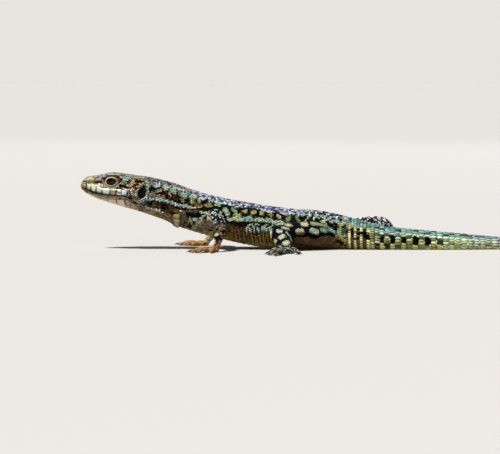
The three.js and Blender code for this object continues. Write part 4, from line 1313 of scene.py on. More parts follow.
# %% New pieces and joined scales
def new_mesh(name, points, faces, colours, rim, uv=None):
    """A piece with its paint and rim in attributes and, where given, its map of roots."""
    mesh = bpy.data.meshes.new(name)
    mesh.from_pydata(placed(points).tolist(), [], faces)
    paint = mesh.attributes.new("paint", "FLOAT_COLOR", "POINT")
    paint.data.foreach_set("color", np.c_[colours, np.ones(len(colours))].ravel())
    edge = mesh.attributes.new("rim", "FLOAT", "POINT")
    edge.data.foreach_set("value", np.asarray(rim, float))
    if uv is not None:
        layer = mesh.uv_layers.new(name="OFBake")
        corners = np.empty(len(mesh.loops), int)
        mesh.loops.foreach_get("vertex_index", corners)
        layer.data.foreach_set("uv", np.asarray(uv)[corners].ravel())
    mesh.shade_smooth()
    mesh.update()
    piece = bpy.data.objects.new(name, mesh)
    bpy.context.scene.collection.objects.link(piece)
    return piece


def outward(piece):
    """Turn all faces of a finished piece outwards."""
    bm = bmesh.new()
    bm.from_mesh(piece.data)
    bmesh.ops.recalc_face_normals(bm, faces=bm.faces)
    bm.to_mesh(piece.data)
    bm.free()
    piece.data.shade_smooth()


# the width of one scale's patch on its region's map, and how much its colour may vary
PATCH = 0.003
LIGHTNESS_VARIES, HUE_VARIES = 0.2, 0.06


def unit_chart(chart):
    low, high = chart.min(axis=0), chart.max(axis=0)
    return 0.01 + 0.98 * (chart - low) / np.maximum(high - low, 1e-6)


def lay_scales(name, shape, field, seed, lift=0.0, vary=0.12, grain=0.0):
    """Repeat a template at every root of a field and join the copies. Grain is the share of
    scales that are much darker, and the share that are lighter."""
    rng = np.random.default_rng(seed)
    root, along_way, normal = field["root"], field["along"], field["normal"]
    side = np.cross(normal, along_way)
    count = len(root)
    points = shape["points"]
    size = field["size"] * (1 + vary * rng.uniform(-1, 1, (count, 3)))
    copies = root[:, None, :] + lift * normal[:, None, :]
    for k, way in enumerate((along_way, side, normal)):
        copies = copies + points[None, :, k, None] * (way * size[:, k, None])[:, None, :]
    copies[:, :, 2] = np.maximum(copies[:, :, 2], 0.0)
    faces = [
        [corner + i * len(points) for corner in face] for i in range(count) for face in shape["faces"]
    ]
    colours = field["paint"] * (1 + LIGHTNESS_VARIES * rng.uniform(-1, 1, (count, 1)))
    colours = colours * (1 + HUE_VARIES * rng.uniform(-1, 1, (count, 3)))
    luck = rng.random((count, 1))
    colours = np.where(luck < grain, colours * 0.3, colours)
    colours = np.where(luck > 1 - grain, colours * 1.3 + 0.02, colours)
    colours = np.repeat(colours, len(points), axis=0)
    rim = np.tile(shape["rim"], count)
    uv = unit_chart(field["chart"])[:, None, :] + points[None, :, :2] * PATCH / 2
    piece = new_mesh(name, copies.reshape(-1, 3), faces, colours, rim, uv.reshape(-1, 2))
    triangles = count * sum(len(face) - 2 for face in shape["faces"])
    print(f"{name}: {count} scales, {triangles} triangles")
    COATS.append(piece)


# %% [markdown]
# ## A chart of the trunk
# Scales sit in rings, evenly spaced round the girth. So the trunk gets a chart: distance along the
# spine, and the share of the way round from the middle of the back, 0, to the middle of the belly,
# 1. The girth is measured once at many stations, and looked up.

# %% Measure the girth
CHART_X = np.linspace(0.4, TAIL_TIP - 0.05, 700)
CHART_ANGLES = np.linspace(0, math.pi, 161)
CHART_SHARES = np.linspace(0, 1, 201)


def measure_girth():
    x, angle = np.meshgrid(CHART_X, CHART_ANGLES, indexing="ij")
    ring = body_point(x, angle, -COAT)
    steps = np.linalg.norm(np.diff(ring, axis=1), axis=2)
    lengths = np.concatenate([np.zeros((len(CHART_X), 1)), np.cumsum(steps, axis=1)], axis=1)
    angles = np.array([
        np.interp(CHART_SHARES, row / max(row[-1], 1e-9), CHART_ANGLES) for row in lengths
    ])
    return lengths[:, -1], angles


HALF_GIRTHS, SHARE_ANGLES = measure_girth()


def half_girth(x):
    return np.interp(x, CHART_X, HALF_GIRTHS)


def girth_angle(x, share):
    """The angle on the section at a share of the way round, from the chart."""
    at_x = np.interp(x, CHART_X, np.arange(len(CHART_X)))
    at_s = np.clip(share, 0, 1) * (len(CHART_SHARES) - 1)
    i = np.clip(at_x.astype(int), 0, len(CHART_X) - 2)
    j = np.clip(at_s.astype(int), 0, len(CHART_SHARES) - 2)
    fx, fs = at_x - i, at_s - j
    low = SHARE_ANGLES[i, j] * (1 - fs) + SHARE_ANGLES[i, j + 1] * fs
    high = SHARE_ANGLES[i + 1, j] * (1 - fs) + SHARE_ANGLES[i + 1, j + 1] * fs
    return low * (1 - fx) + high * fx


def chart_point(x, share, side, grow=-COAT):
    """A point of the trunk from its chart. The side is -1 or 1."""
    return body_point(x, np.asarray(side) * girth_angle(x, share), grow)


def tailward(x, share, side):
    ahead = chart_point(x + 0.15, share, side)
    return ahead - chart_point(x - 0.15, share, side)


print("half the girth at the middle of the belly:", round(float(half_girth(38.0)), 2), "mm")

# %% [markdown]
# ## Small scales of the neck and trunk
# About 62 small round scales go round the back and flanks, in rings less than half a millimetre
# apart, and each ring is set half a scale aside from the last. On the underside they stop at the
# belly plates, whose belt is nearly four millimetres wide on each side.

# %% Rings of small scales
BELT = 3.9
SCALE_HEIGHT = 0.14
ROW_STEP = 0.34
SCALES_TO_BELT = 31


def belt_width(x):
    return BELT * fade(x, 21.4, 24.0) * np.interp(x, [0, 47, 58, 60], [1, 1, 0.72, 0.7])


def trunk_rows(start, end):
    rows = []
    number, x = 0, start
    while x < end:
        long = float(np.interp(x, [50, TAIL_FROM], [ROW_STEP, 0.5]))
        girth = float(half_girth(x))
        bare = float(belt_width(x))
        target = np.interp(x, [48, TAIL_FROM], [0.37, 0.43])
        count = SCALES_TO_BELT if x < 48 else int(round((girth - bare) / target))
        shares = (np.arange(count) + 0.25 + 0.5 * (number % 2)) / count * (1 - bare / girth)
        wide = (girth - bare) / count
        for side in (LEFT, RIGHT):
            for share in shares:
                rows.append((x, share, side, wide, long))
        number, x = number + 1, x + long
    return np.array(rows)


def chart_field(rows, sizes, reach=0.28, grow=-COAT):
    """Painted scales for rows on the chart. Each starts with its distance, share and side."""
    x, share, side = np.array(rows).T[:3]
    spots = chart_point(x, share, side, grow)
    chart = np.c_[x, share * side]
    field = settle(spots, tailward(x, share, side), sizes, chart, reach, crowd=False)
    field["paint"] = markings(field["root"])
    return field


def lay_trunk(name, start, end, seed):
    rows = trunk_rows(start, end)
    wide, long = rows.T[3:]
    sizes = np.stack([long * 0.62, wide * 0.52, np.full(len(rows), SCALE_HEIGHT)], -1)
    lay_scales(name, BEAD, chart_field(rows, sizes), seed, grain=0.13)


lay_trunk("scales_neck", 15.3, 24.2, 11)
lay_trunk("scales_shoulders", 24.2, 35.3, 12)
lay_trunk("scales_flanks", 35.3, 47.1, 13)
lay_trunk("scales_hips", 47.1, TAIL_FROM + 0.2, 14)

# %% [markdown]
# ## Whorls of the tail
# The tail wears rings of long keeled scales whose free edges stand a little proud of the next ring.
# The rings are longest in the first third of the tail, and the number of scales round a ring falls
# towards the tip.

# %% Rings of keeled scales
def tail_rows():
    rows = []
    for number, (x, after) in enumerate(zip(WHORLS, WHORLS[1:])):
        long = after - x
        middle = 0.5 * (x + after)
        girth = float(half_girth(middle)) * 2
        target = np.interp(middle, [58, 62, 70, 90, 172], [0.43, 0.5, 0.62, 0.52, 0.4])
        count = max(6, 2 * int(round(girth / target / 2)))
        for i in range(count // 2):
            share = (i + 0.5) / (count // 2)
            for side in (LEFT, RIGHT):
                rows.append((middle, share, side, girth / count, long))
    return np.array(rows)


def lay_tail():
    rows = tail_rows()
    x, _, _, wide, long = rows.T
    thick = 0.13 + 0.07 * fade(x, 56, 66) * fade(110 - x, 0, 60)
    sizes = np.stack([long * 0.58, wide * 0.5, thick], -1)
    lay_scales("scales_tail", KEELED, chart_field(rows, sizes, 0.4), 15, vary=0.06, grain=0.04)


lay_tail()

# %% [markdown]
# ## Scales of the legs
# The legs are ringed in the same way about their middle lines. Fingers and toes carry rings of
# small flat plates.

# %% Rings on legs and digits
def ring_field(line, radius_at, start, end, step, target, height, number, chart_at, reach=0.3):
    """Rings of scales round a middle line between two shares of its length."""
    length = np.sum(np.linalg.norm(np.diff(line, axis=0), axis=1))
    shares = np.linspace(0, 1, len(line))
    rows, ways, sizes, charts = [], [], [], []
    place = round_line(line, radius_at)
    steps = max(2, int(round(length * (end - start) / step)))
    for i, t in enumerate(np.linspace(start, end, steps)):
        radius = float(radius_at(np.array([t]))[0])
        count = max(5, int(round(2 * math.pi * radius / target)))
        angles = (np.arange(count) + 0.5 * (i % 2)) / count * 2 * math.pi
        spots = place(np.full(count, t), angles)
        k = min(int(t * (len(line) - 1)), len(line) - 2)
        rows.extend(spots)
        ways.extend([line[k + 1] - line[k]] * count)
        wide = 2 * math.pi * radius / count
        sizes.extend([[length * (end - start) / steps * 0.58, wide * 0.52, height]] * count)
        charts.extend(np.c_[np.full(count, chart_at + t), angles / 6.3 + 1.1 * number])
    return settle(rows, ways, sizes, charts, reach)


def join_fields(fields):
    fields = [field for field in fields if len(field["root"])]
    return {key: np.concatenate([field[key] for field in fields]) for key in fields[0]}


def lay_limbs():
    for pair, name in (((0, 1), "arms"), ((2, 3), "legs")):
        rings, digits = [], []
        for number in pair:
            limb = LIMBS[number]
            table, foot = limb["thickness"], limb["foot"]
            step, target = (0.32, 0.35) if number < 2 else (0.35, 0.38)
            rings.append(ring_field(
                limb["line"], lambda t: along(table, 1, t) - COAT, 0.05, 0.99, step, target, 0.14,
                number, 0,
            ))
            for k, (line, _) in enumerate(limb["digit_lines"]):
                digits.append(ring_field(
                    line, lambda t: digit_radius(foot, t) - 0.06, 0.12, 0.97, 0.36, 0.42, 0.09,
                    number * 6 + k, 2, 0.2,
                ))
        for title, fields, shape, seed in (
            ("scales_", rings, BEAD, 16), ("scales_digits_of_", digits, FLAT_SCALE, 26),
        ):
            field = join_fields(fields)
            field["paint"] = markings(field["root"])
            lay_scales(title + name, shape, field, seed + pair[0])


lay_limbs()

# %% [markdown]
# ## Plates of the belly and the collar
# Under the belly lie six rows of broad plates, each overlapping the next one behind. The throat
# ends in a collar of pointed plates. They are flat enough to repeat one template again.

# %% Rows of plates
PLATE = template(12, 6.0, 0.7, tilt=0.45, inset=0.18)
POINTED = template(10, 2.6, 0.7, tilt=0.5, inset=0.25)
PLATES_ALONG = (23.6, 56.6)
PLATE_STEP = 1.18
PLATE_EDGES = [0.0, 1.15, 2.5, 3.95]
# half length, half width and height
VENT_AT, VENT_PLATE = 57.1, (0.75, 1.3, 0.14)
COLLAR_PLATE = (0.62, 0.5, 0.2)


def lay_belly():
    rows, sizes = [], []
    for x in np.arange(*PLATES_ALONG, PLATE_STEP):
        girth = float(half_girth(x))
        narrow = float(belt_width(x)) / BELT
        for inner, outer in zip(PLATE_EDGES, PLATE_EDGES[1:]):
            share = 1 - 0.5 * (inner + outer) * narrow / girth
            for side in (LEFT, RIGHT):
                rows.append((x, share, side))
                sizes.append((PLATE_STEP * 0.56, (outer - inner) * narrow * 0.5, 0.12))
    rows.append((VENT_AT, 1.0, RIGHT))
    sizes.append(VENT_PLATE)
    field = chart_field(rows, sizes, 0.5)
    for root, way, normal, size in zip(*(field[key] for key in ("root", "along", "normal", "size"))):
        across_it = np.cross(normal, way)
        for i in (-0.6, 0, 0.6):
            for j in (-0.75, -0.25, 0.25, 0.75):
                ground.add(root + way * i * size[0] + across_it * j * size[1], 0.16)
    lay_scales("scales_belly", PLATE, field, 31, vary=0.03)


def lay_collar():
    rows = [(20.95 + 0.25 * abs(share - 1), share, side)
            for share in np.linspace(0.58, 0.96, 6) for side in (LEFT, RIGHT)]
    field = chart_field(rows, [COLLAR_PLATE] * len(rows), 0.6, 0.02)
    # the collar's plates are painted lighter, a painted highlight on the front edge of its fold
    field["paint"] = field["paint"] * 1.15
    lay_scales("scales_collar", POINTED, field, 32, lift=0.05)


lay_belly()
lay_collar()

# %% [markdown]
# ## Shields of the head
# Large shields cover a lizard's head, and their borders are what one knows the species by. Each is
# drawn flat on a chart, as one face cut from an outline. It is inset to leave the groove round it,
# extruded to a thickness, its rim bevelled, and sliced along both directions of the chart, so that
# it can bend. Then the whole flat set is wrapped on the head.

# %% Cut flat shields
HEAD_ENDS = (0.42, 15.5)
CHART_GAP = 9
SHIELD_UNDER, SHIELD_TOP = -0.22, 0.03
SHIELD_CORNER, SHIELD_EDGE = 0.14, 0.07
GROOVE = 0.045
SLICE = 0.15


def flat_shield(bm, outline):
    """One closed shield on its chart, with its thickness along Z."""
    part = bmesh.new()
    verts = [part.verts.new((a, b, SHIELD_UNDER)) for a, b in outline]
    bmesh.ops.contextual_create(part, geom=verts)
    bmesh.ops.bevel(
        part, geom=part.verts[:], offset=SHIELD_CORNER, affect="VERTICES", segments=2, profile=0.5,
        material=-1, clamp_overlap=True,
    )
    face = part.faces[:]
    rim = bmesh.ops.inset_region(
        part, faces=face, thickness=GROOVE, use_boundary=True, use_even_offset=True
    )["faces"]
    bmesh.ops.delete(part, geom=rim, context="FACES")
    part.faces.ensure_lookup_table()
    if part.faces[0].normal.z < 0:
        bmesh.ops.reverse_faces(part, faces=part.faces)
    top = bmesh.ops.extrude_face_region(part, geom=part.faces[:], use_keep_orig=True)["geom"]
    raised = [vert for vert in top if isinstance(vert, bmesh.types.BMVert)]
    bmesh.ops.translate(part, verts=raised, vec=(0, 0, SHIELD_TOP - SHIELD_UNDER))
    crest = [face for face in top if isinstance(face, bmesh.types.BMFace)]
    edges = [edge for face in crest for edge in face.edges]
    bmesh.ops.bevel(
        part, geom=edges, offset=SHIELD_EDGE, affect="EDGES", segments=2, profile=0.5, material=-1,
        clamp_overlap=True,
    )
    for axis in (0, 1):
        low = min(vert.co[axis] for vert in part.verts)
        high = max(vert.co[axis] for vert in part.verts)
        for cut in np.arange(math.ceil(low / SLICE), math.ceil(high / SLICE)) * SLICE:
            place = [0, 0, 0]
            normal = [0, 0, 0]
            place[axis], normal[axis] = float(cut), 1
            everything = part.verts[:] + part.edges[:] + part.faces[:]
            bmesh.ops.bisect_plane(part, geom=everything, dist=1e-4, plane_co=place, plane_no=normal)
    bmesh.ops.remove_doubles(part, verts=part.verts, dist=1e-4)
    bmesh.ops.triangulate(part, faces=part.faces)
    mesh = bpy.data.meshes.new("part")
    part.to_mesh(mesh)
    part.free()
    bm.from_mesh(mesh)
    bpy.data.meshes.remove(mesh)


def solve_angle(x, wanted, measure, end=math.pi):
    """The angle on each section at which a measure, which grows with it, has the wanted value."""
    low, high = np.zeros(len(x)), np.full(len(x), end)
    for _ in range(26):
        middle = 0.5 * (low + high)
        short = measure(body_point(x, middle), x) < wanted
        low, high = np.where(short, middle, low), np.where(short, high, middle)
    return 0.5 * (low + high)


def depth(points, x):
    return -points[:, 2]


def away(points, x):
    return (points[:, 1] - sideways(x)) * across(x)[:, 1]


def wrap_side(flat, side):
    """From distance and height to the side of the head."""
    x = np.clip(flat[:, 0], *HEAD_ENDS)
    angle = solve_angle(x, -flat[:, 1], depth)
    nostril = fade(1.25 - nostril_distance(x, flat[:, 1]), 0, 0.35)
    return body_point(x, side * angle, flat[:, 2] - 0.45 * nostril)


def wrap_top(flat, side):
    """From distance and place across to the top of the head."""
    x = np.clip(flat[:, 0], *HEAD_ENDS)
    angle = solve_angle(x, np.abs(flat[:, 1]), away, math.pi / 2)
    sign = np.where(flat[:, 1] < 0, -1, 1) * side
    return body_point(x, sign * angle, flat[:, 2])


def wrap_under(flat, side):
    """From distance and the way up from the middle of the throat to the chin."""
    x = np.clip(flat[:, 0], *HEAD_ENDS)
    share = 1 - np.abs(flat[:, 1]) / half_girth(x)
    return body_point(x, side * girth_angle(x, share), flat[:, 2])


def wrap_front(flat, side):
    """From place across and height to the tip of the snout."""
    points = []
    for across_it, height, lift in flat:
        spot_there, normal, _, _ = skin_tree.ray_cast((-3, across_it, height), (1, 0, 0))
        points.append(spot_there + normal * (lift + COAT))
    return np.array(points)


def lay_shields(name, outlines, wrap, sides):
    bm = bmesh.new()
    for outline in outlines:
        flat_shield(bm, outline)
    flat, faces = arrays(bm)
    points = np.vstack([wrap(flat, side) for side in sides])
    faces = [
        [corner + k * len(flat) for corner in face] for k in range(len(sides)) for face in faces
    ]
    colours = markings(points)
    rim = np.tile(np.clip(1 - (flat[:, 2] - SHIELD_TOP + 0.09) / 0.09, 0, 1), len(sides))
    chart = np.vstack([flat[:, :2] + [0, CHART_GAP * k] for k in range(len(sides))])
    piece = new_mesh(name, points, faces, colours, rim, unit_chart(chart))
    outward(piece)
    for point, edge in zip(points, rim):
        if edge < 1:
            ground.add(point, 0.085)
    print(f"{name}: {len(outlines) * len(sides)} shields, {len(piece.data.polygons)} triangles")
    COATS.append(piece)


# %% [markdown]
# ## The outlines of the shields
# A wall lizard has the same shields in the same places on every head: a row along each lip, large
# ones down the middle of the crown, pairs beside them, and pairs under the chin. Rows come from a
# loop between two lines. The others are drawn as outlines of a few corners, once for the middle
# ones and once for both of a pair.

# %% Rows of shields along the lips, brow and temple
LIP_TOP = [(0.72, 14.2), (1.6, 14.3), (2.6, 14.1), (3.75, 13.75), (5.0, 13.45), (7.0, 13.3),
           (8.2, 13.25), (9.3, 13.1), (10.4, 12.8)]
CANTHUS = [(0.8, 15.15), (1.65, 15.35), (3.3, 15.5), (4.9, 15.6)]
MOUTH_GAP = 0.07


def strip(breaks, low, high, lean=0.0):
    """A row of shields between two lines, parted at the breaks, each border leaning back."""
    outlines = []
    for a, b in zip(breaks, breaks[1:]):
        middle = 0.5 * (a + b)
        outlines.append([
            (a, low(a)), (middle, low(middle)), (b, low(b)),
            (b + lean, high(b)), (middle + lean, high(middle)), (a + lean, high(a)),
        ])
    return outlines


def upper_lip_foot(x):
    return float(mouth_height(x)) + MOUTH_GAP


def upper_lip_top(x):
    return float(line_height(x, LIP_TOP))


def canthus(x):
    return float(line_height(x, CANTHUS))


def lower_lip_top(x):
    return float(mouth_height(x)) - MOUTH_GAP


def lower_lip_foot(x):
    """The lower lip's shields deepen behind the snout and thin out under the eye."""
    deeper, thinner = float(fade(x, 0.7, 3.0)), float(fade(x, 8, 10.5))
    return float(mouth_height(x)) - 0.55 - 0.32 * deeper + 0.25 * thinner


side_outlines = strip([0.55, *SUTURES], upper_lip_foot, upper_lip_top, 0.08)
side_outlines += strip([0.5, 1.7, 3.0, 4.6, 6.6, 8.6, 10.4], lower_lip_foot, lower_lip_top, -0.12)
side_outlines += strip([0.5, 1.62, 2.15, 3.35, 4.8], upper_lip_top, canthus, 0.06)
side_outlines += [
    [(4.86, 13.5), (5.3, 13.45), (5.35, 14.3), (4.9, 14.4)],
    [(4.9, 14.4), (5.35, 14.3), (5.3, 15.2), (4.92, 15.6)],
    [(9.8, 13.75), (10.1, 13.35), (10.7, 13.35), (11.0, 13.75), (10.7, 14.2), (10.1, 14.2)],
    [(12.5, 14.3), (13.1, 14.05), (13.9, 14.05), (13.6, 14.4), (12.9, 14.6)],
]
side_outlines += strip([9.5, 11.0, 12.5, 13.9], lambda x: 15.0 - 0.06 * (x - 9.5),
                       lambda x: 15.42 - 0.05 * (x - 9.5), 0.1)
side_outlines += strip([5.4, 6.2, 7.0, 7.8, 8.6, 9.3], lambda x: 15.8 - 0.05 * (x - 7) ** 2,
                       lambda x: 16.12 - 0.05 * (x - 7) ** 2, 0.15)
print("shields on a side:", len(side_outlines))

# %% Shields of the crown, chin and snout
middle_outlines = [
    [(2.1, -0.95), (2.85, -1.3), (3.3, -1.15), (3.6, 0), (3.3, 1.15), (2.85, 1.3), (2.1, 0.95)],
    [(4.75, 0), (5.15, 0.95), (8.2, 0.72), (8.75, 0.3), (8.75, -0.3), (8.2, -0.72), (5.15, -0.95)],
    [(10.5, -0.36), (10.5, 0.36), (11.2, 0.55), (12.4, 0.36), (12.4, -0.36), (11.2, -0.55)],
    [(12.4, -0.36), (12.4, 0.36), (13.6, 0.5), (13.8, 0), (13.6, -0.5)],
]
pair_outlines = [
    [(0.5, 0), (2.1, 0), (2.1, 0.95), (1.7, 1.35), (0.75, 0.95)],
    [(3.6, 0), (4.75, 0), (5.15, 0.95), (4.95, 1.65), (3.4, 1.85), (2.85, 1.3), (3.3, 1.15)],
    [(2.1, 0.95), (2.85, 1.3), (3.4, 1.85), (2.6, 1.75), (1.7, 1.35)],
    [(5.15, 0.95), (5.95, 0.9), (5.95, 2.0), (5.3, 2.0), (4.95, 1.65)],
    [(5.95, 0.9), (7.6, 0.77), (7.75, 2.5), (6.6, 2.42), (5.95, 2.0)],
    [(7.6, 0.77), (8.2, 0.72), (9.1, 1.35), (9.3, 2.5), (7.75, 2.5)],
    [(9.1, 1.35), (9.9, 1.6), (9.95, 2.45), (9.3, 2.5)],
    [(8.75, 0), (8.75, 0.3), (8.2, 0.72), (9.1, 1.35), (9.9, 1.6), (10.6, 1.2), (10.5, 0.36),
     (10.5, 0)],
    [(10.5, 0.36), (10.6, 1.2), (9.9, 1.6), (9.95, 2.45), (12.3, 3.05), (14.1, 2.6), (14.5, 1.3),
     (13.6, 0.5), (12.4, 0.36), (11.2, 0.55)],
]

def chin(x):
    """The way from the middle of the throat up to the lower lip's shields."""
    shares = np.linspace(0.4, 1, 60)
    heights = chart_point(np.full(len(shares), x), shares, RIGHT, 0.0)[:, 2]
    share = np.interp(lower_lip_foot(x), heights[::-1], shares[::-1])
    return float(half_girth(x)) * float(1 - share)


under_outlines = [
    [(0.8, 0), (1.6, 0), (2.0, 0.5 * chin(1.5)), (1.5, 0.96 * chin(1.5)), (0.9, 0.75 * chin(0.9))],
]
for a, b in zip([1.5, 3.3, 6.1, 8.1], [3.3, 6.1, 8.1, 9.8]):
    inner = 0.0 if a < 4 else 0.26 * (a - 5)
    under_outlines.append([
        (a + 0.1, inner * 0.8), (b - 0.1, inner), (b + 0.5, 0.5 * chin(b)), (b, chin(b) - 0.04),
        (a, chin(a) - 0.04), (a + 0.5, 0.5 * chin(a)),
    ])
front_outlines = [
    [(-0.94, 13.64), (0.94, 13.64), (0.98, 14.2), (0.6, 14.75), (0, 15.0), (-0.6, 14.75),
     (-0.98, 14.2)],
    [(-0.82, 13.5), (0.82, 13.5), (0.7, 13.05), (0, 12.8), (-0.7, 13.05)],
]
print("shields on the middle line:", len(middle_outlines), "pairs:", len(pair_outlines))
lay_shields("shields_snout", front_outlines, wrap_front, (RIGHT,))
lay_shields("shields_side", side_outlines, wrap_side, (LEFT, RIGHT))
lay_shields("shields_middle", middle_outlines, wrap_top, (RIGHT,))
lay_shields("shields_crown", pair_outlines, wrap_top, (LEFT, RIGHT))
lay_shields("shields_chin", under_outlines, wrap_under, (LEFT, RIGHT))

# %% [markdown]
# ## Granules wherever skin is still bare
# Between the shields and the rings lie patches of small granules without rows: on the temple, round
# the shoulder and hip, and on palms and soles. The skin's own points are offered in a fixed random
# order, and each takes a granule if no other scale is too near. This gives the even but irregular
# packing that such skin has.

# %% Fill the bare skin
FACE_TO, TAIL_PAST = 15, 60


def granule_size(points, place):
    """Half the width of a granule, smallest on the face and feet."""
    on_head = (place["part"] == 0) & (place["x"] < FACE_TO)
    size = np.where(on_head, 0.17, 0.2)
    size = np.where((place["part"] > 0) & (place["share"] > 1.05), 0.17, size)
    tail = (place["part"] == 0) & (place["x"] > TAIL_PAST)
    return np.where(tail, 0.24, size)


def lay_granules():
    order = np.random.default_rng(5).permutation(len(skin_points))
    half = granule_size(skin_points, skin_place)
    x, z = skin_place["x"], skin_points[:, 2]
    beside = (x < FACE_TO) & (np.abs(skin_place["out"]) / column("half", x) > 0.3)
    openings = (eye_distance(x, z) < 1.3) | (ear_distance(x, z) < 1.02)
    openings |= nostril_distance(x, z) < 2.4
    lips = (x < 11) & (np.abs(z - mouth_height(x)) < 0.14)
    tips = (x < 0.8) | (x > TAIL_TIP - 1.5)
    barred = beside & openings | lips | tips | (z < LOWEST)
    chosen = []
    for shrink in (1.0, 0.75, 0.55):
        for i in order[~barred[order]]:
            radius = half[i] * shrink * 0.86
            if ground.free(skin_points[i], radius):
                ground.add(skin_points[i], radius)
                half[i] *= shrink
                barred[i] = True
                chosen.append(i)
    chosen = np.array(chosen)
    normals = np.array([skin_mesh.vertices[int(i)].normal for i in chosen])
    backward = np.tile([1.0, 0.0, 0.0], (len(chosen), 1))
    leg = skin_place["part"][chosen] > 0
    backward[leg] = [0.2, 0, -1]
    backward = flattened(backward, normals)
    size = half[chosen, None] * [1.12, 1.05, 0.75]
    place = {key: value[chosen] for key, value in skin_place.items()}
    field = {
        "root": skin_points[chosen], "normal": normals, "along": backward, "size": size,
        "paint": skin_colours[chosen],
    }
    x = place["x"]
    round_spine = np.arctan2(place["out"], place["z"] - 0.5 * column("back", x))
    field["chart"] = np.where(leg[:, None], skin_points[chosen][:, :2], np.c_[x, round_spine])
    for name, group in (
        ("granules_head", ~leg & (x < HEAD_ENDS[1])),
        ("granules_body", ~leg & (x >= HEAD_ENDS[1])),
        ("granules_limbs", leg),
    ):
        part = {key: value[group] for key, value in field.items()}
        lay_scales(name, BEAD, part, 41, grain=0.07)


lay_granules()

# %% [markdown]
# ## Eyes and lids
# An eye is a wet, glossy ball with a round pupil, a thin gold ring and a dark amber iris. It could
# be two shells, a clear one over a painted one, but at this size one painted ball looks the same.
# The lids are one ring: an almond opening close on the ball, a rolled edge, and folds that run out
# to the skin. The ring is a flat grid bent round the opening, and then given a thickness.

# %% Eyes
PUPIL_TO = 35
EYE_OUT = 0.08


def eye_middle(side):
    return node_middle("eye_" + SIDES[side])


def eye_axis(side):
    return across(np.array([EYE["x"]]))[0] * side + np.array([-0.2, 0, 0.12])


def make_eye(side):
    bm = bmesh.new()
    bmesh.ops.create_uvsphere(bm, u_segments=64, v_segments=48, radius=EYE["radius"] - 0.1)
    axis = eye_axis(side)
    axis = axis / np.linalg.norm(axis)
    turn = Vector(axis).to_track_quat("Z", "Y").to_matrix()
    bmesh.ops.rotate(bm, verts=bm.verts, cent=(0, 0, 0), matrix=turn)
    points, faces = arrays(bm)
    straight = points @ axis / np.linalg.norm(points, axis=1)
    turned_away = np.degrees(np.arccos(np.clip(straight, -1, 1)))
    colours, lay = undercoat(points, "iris")
    lay(fade(fray(points, 0.35, 21), -0.2, 0.5) * 0.5, "amber")
    lay(fade(1.4 - np.abs(turned_away - PUPIL_TO - 1), 0, 1.4) * 0.3, "gold")
    lay(fade(PUPIL_TO - turned_away, 0, 1.5), "pupil")
    lay(fade(turned_away, 40, 46), "eyeball")
    points = points + eye_middle(side) + EYE_OUT * axis
    return new_mesh("eyeball_" + SIDES[side], points, faces, colours, np.zeros(len(points)))


EYEBALLS = {side: make_eye(side) for side in SIDES}
print("an eyeball has", len(EYEBALLS[LEFT].data.polygons), "faces")

# %% Lids
# half length and half height where the lids meet the skin, and of the opening
LID_OUTER = (1.95, 1.5)
LID_OPENING = (1.08, 0.76)
LID_THICK = 0.09


def almond(angle):
    """The opening between the lids: angle 0 is its front corner."""
    back = np.maximum(0, -np.cos(angle))
    high = LID_OPENING[1] * np.sin(angle) * (1 - 0.34 * back**2)
    return -LID_OPENING[0] * np.cos(angle), high + 0.05 + 0.1 * (back - 0.3)


def lid_point(side, around, outwards):
    """A point on the lids: outwards is 0 at the opening and 1 where they meet the skin."""
    centre = eye_middle(side)
    inner_x, inner_z = almond(around)
    outer_x, outer_z = -LID_OUTER[0] * np.cos(around), LID_OUTER[1] * np.sin(around)
    share = outwards**0.9
    dx = inner_x * (1 - share) + outer_x * share
    dz = inner_z * (1 - share) + outer_z * share
    x, z = centre[0] + dx, centre[2] + dz
    on_ball = np.sqrt(np.clip((EYE["radius"] + 0.05) ** 2 - dx**2 - dz**2, 0, None))
    angle = solve_angle(x, -z, depth)
    surface = body_point(x, side * angle, -COAT - 0.04)
    way = across(x) * side
    ball = np.stack([x, sideways(x) * 0 + centre[1], z], -1) + way * on_ball[:, None]
    mix = fade(outwards, 0.1, 0.95)[:, None]
    roll = 0.13 * bell(outwards - 0.1, 0.1) + 0.07 * bell(outwards - 0.42, 0.1)
    roll = roll + 0.06 * bell(outwards - 0.7, 0.1)
    return ball * (1 - mix) + surface * mix + way * roll[:, None]


def make_lids(side):
    bm = bmesh.new()
    verts = bmesh.ops.create_grid(bm, x_segments=18, y_segments=72, size=1)["verts"]
    flat = np.array([vert.co for vert in verts])
    spots = lid_point(side, (flat[:, 1] + 1) * math.pi, (flat[:, 0] + 1) / 2)
    for vert, place in zip(verts, spots):
        vert.co = place
    bmesh.ops.remove_doubles(bm, verts=verts, dist=1e-4)
    bmesh.ops.recalc_face_normals(bm, faces=bm.faces)
    if sum(face.normal.y * side for face in bm.faces) < 0:
        bmesh.ops.reverse_faces(bm, faces=bm.faces)
    bmesh.ops.solidify(bm, geom=bm.faces[:], thickness=LID_THICK)
    points, faces = arrays(bm)
    centre = eye_middle(side)
    dx, dz = points[:, 0] - centre[0], points[:, 2] - centre[2]
    around = np.arctan2(dz / LID_OUTER[1], -dx / LID_OUTER[0])
    inner_x, inner_z = almond(around)
    reach = np.hypot(dx, dz) / np.hypot(inner_x, inner_z)
    colours, lay = undercoat(points, "umber")
    lay(fade(1.12 - reach, 0, 0.06), "brown")
    lay(fade(1.03 - reach, 0, 0.03), "black")
    piece = new_mesh("lids_" + SIDES[side], points, faces, colours, np.zeros(len(points)))
    outward(piece)
    return piece


LIDS = [make_lids(side) for side in SIDES]
print("lids:", len(LIDS))

# %% Granules on the lids
# how far out a ring of granules lies, and how many it has
LID_RINGS = [(0.1, 40), (0.25, 40), (0.4, 38), (0.55, 38), (0.7, 38), (0.86, 40)]
UPPER_LID = ["cream", "cream", "umber", "umber", "olive", "umber"]
LOWER_LID = ["cream", "cream", "umber", "cream", "cream", "blush"]


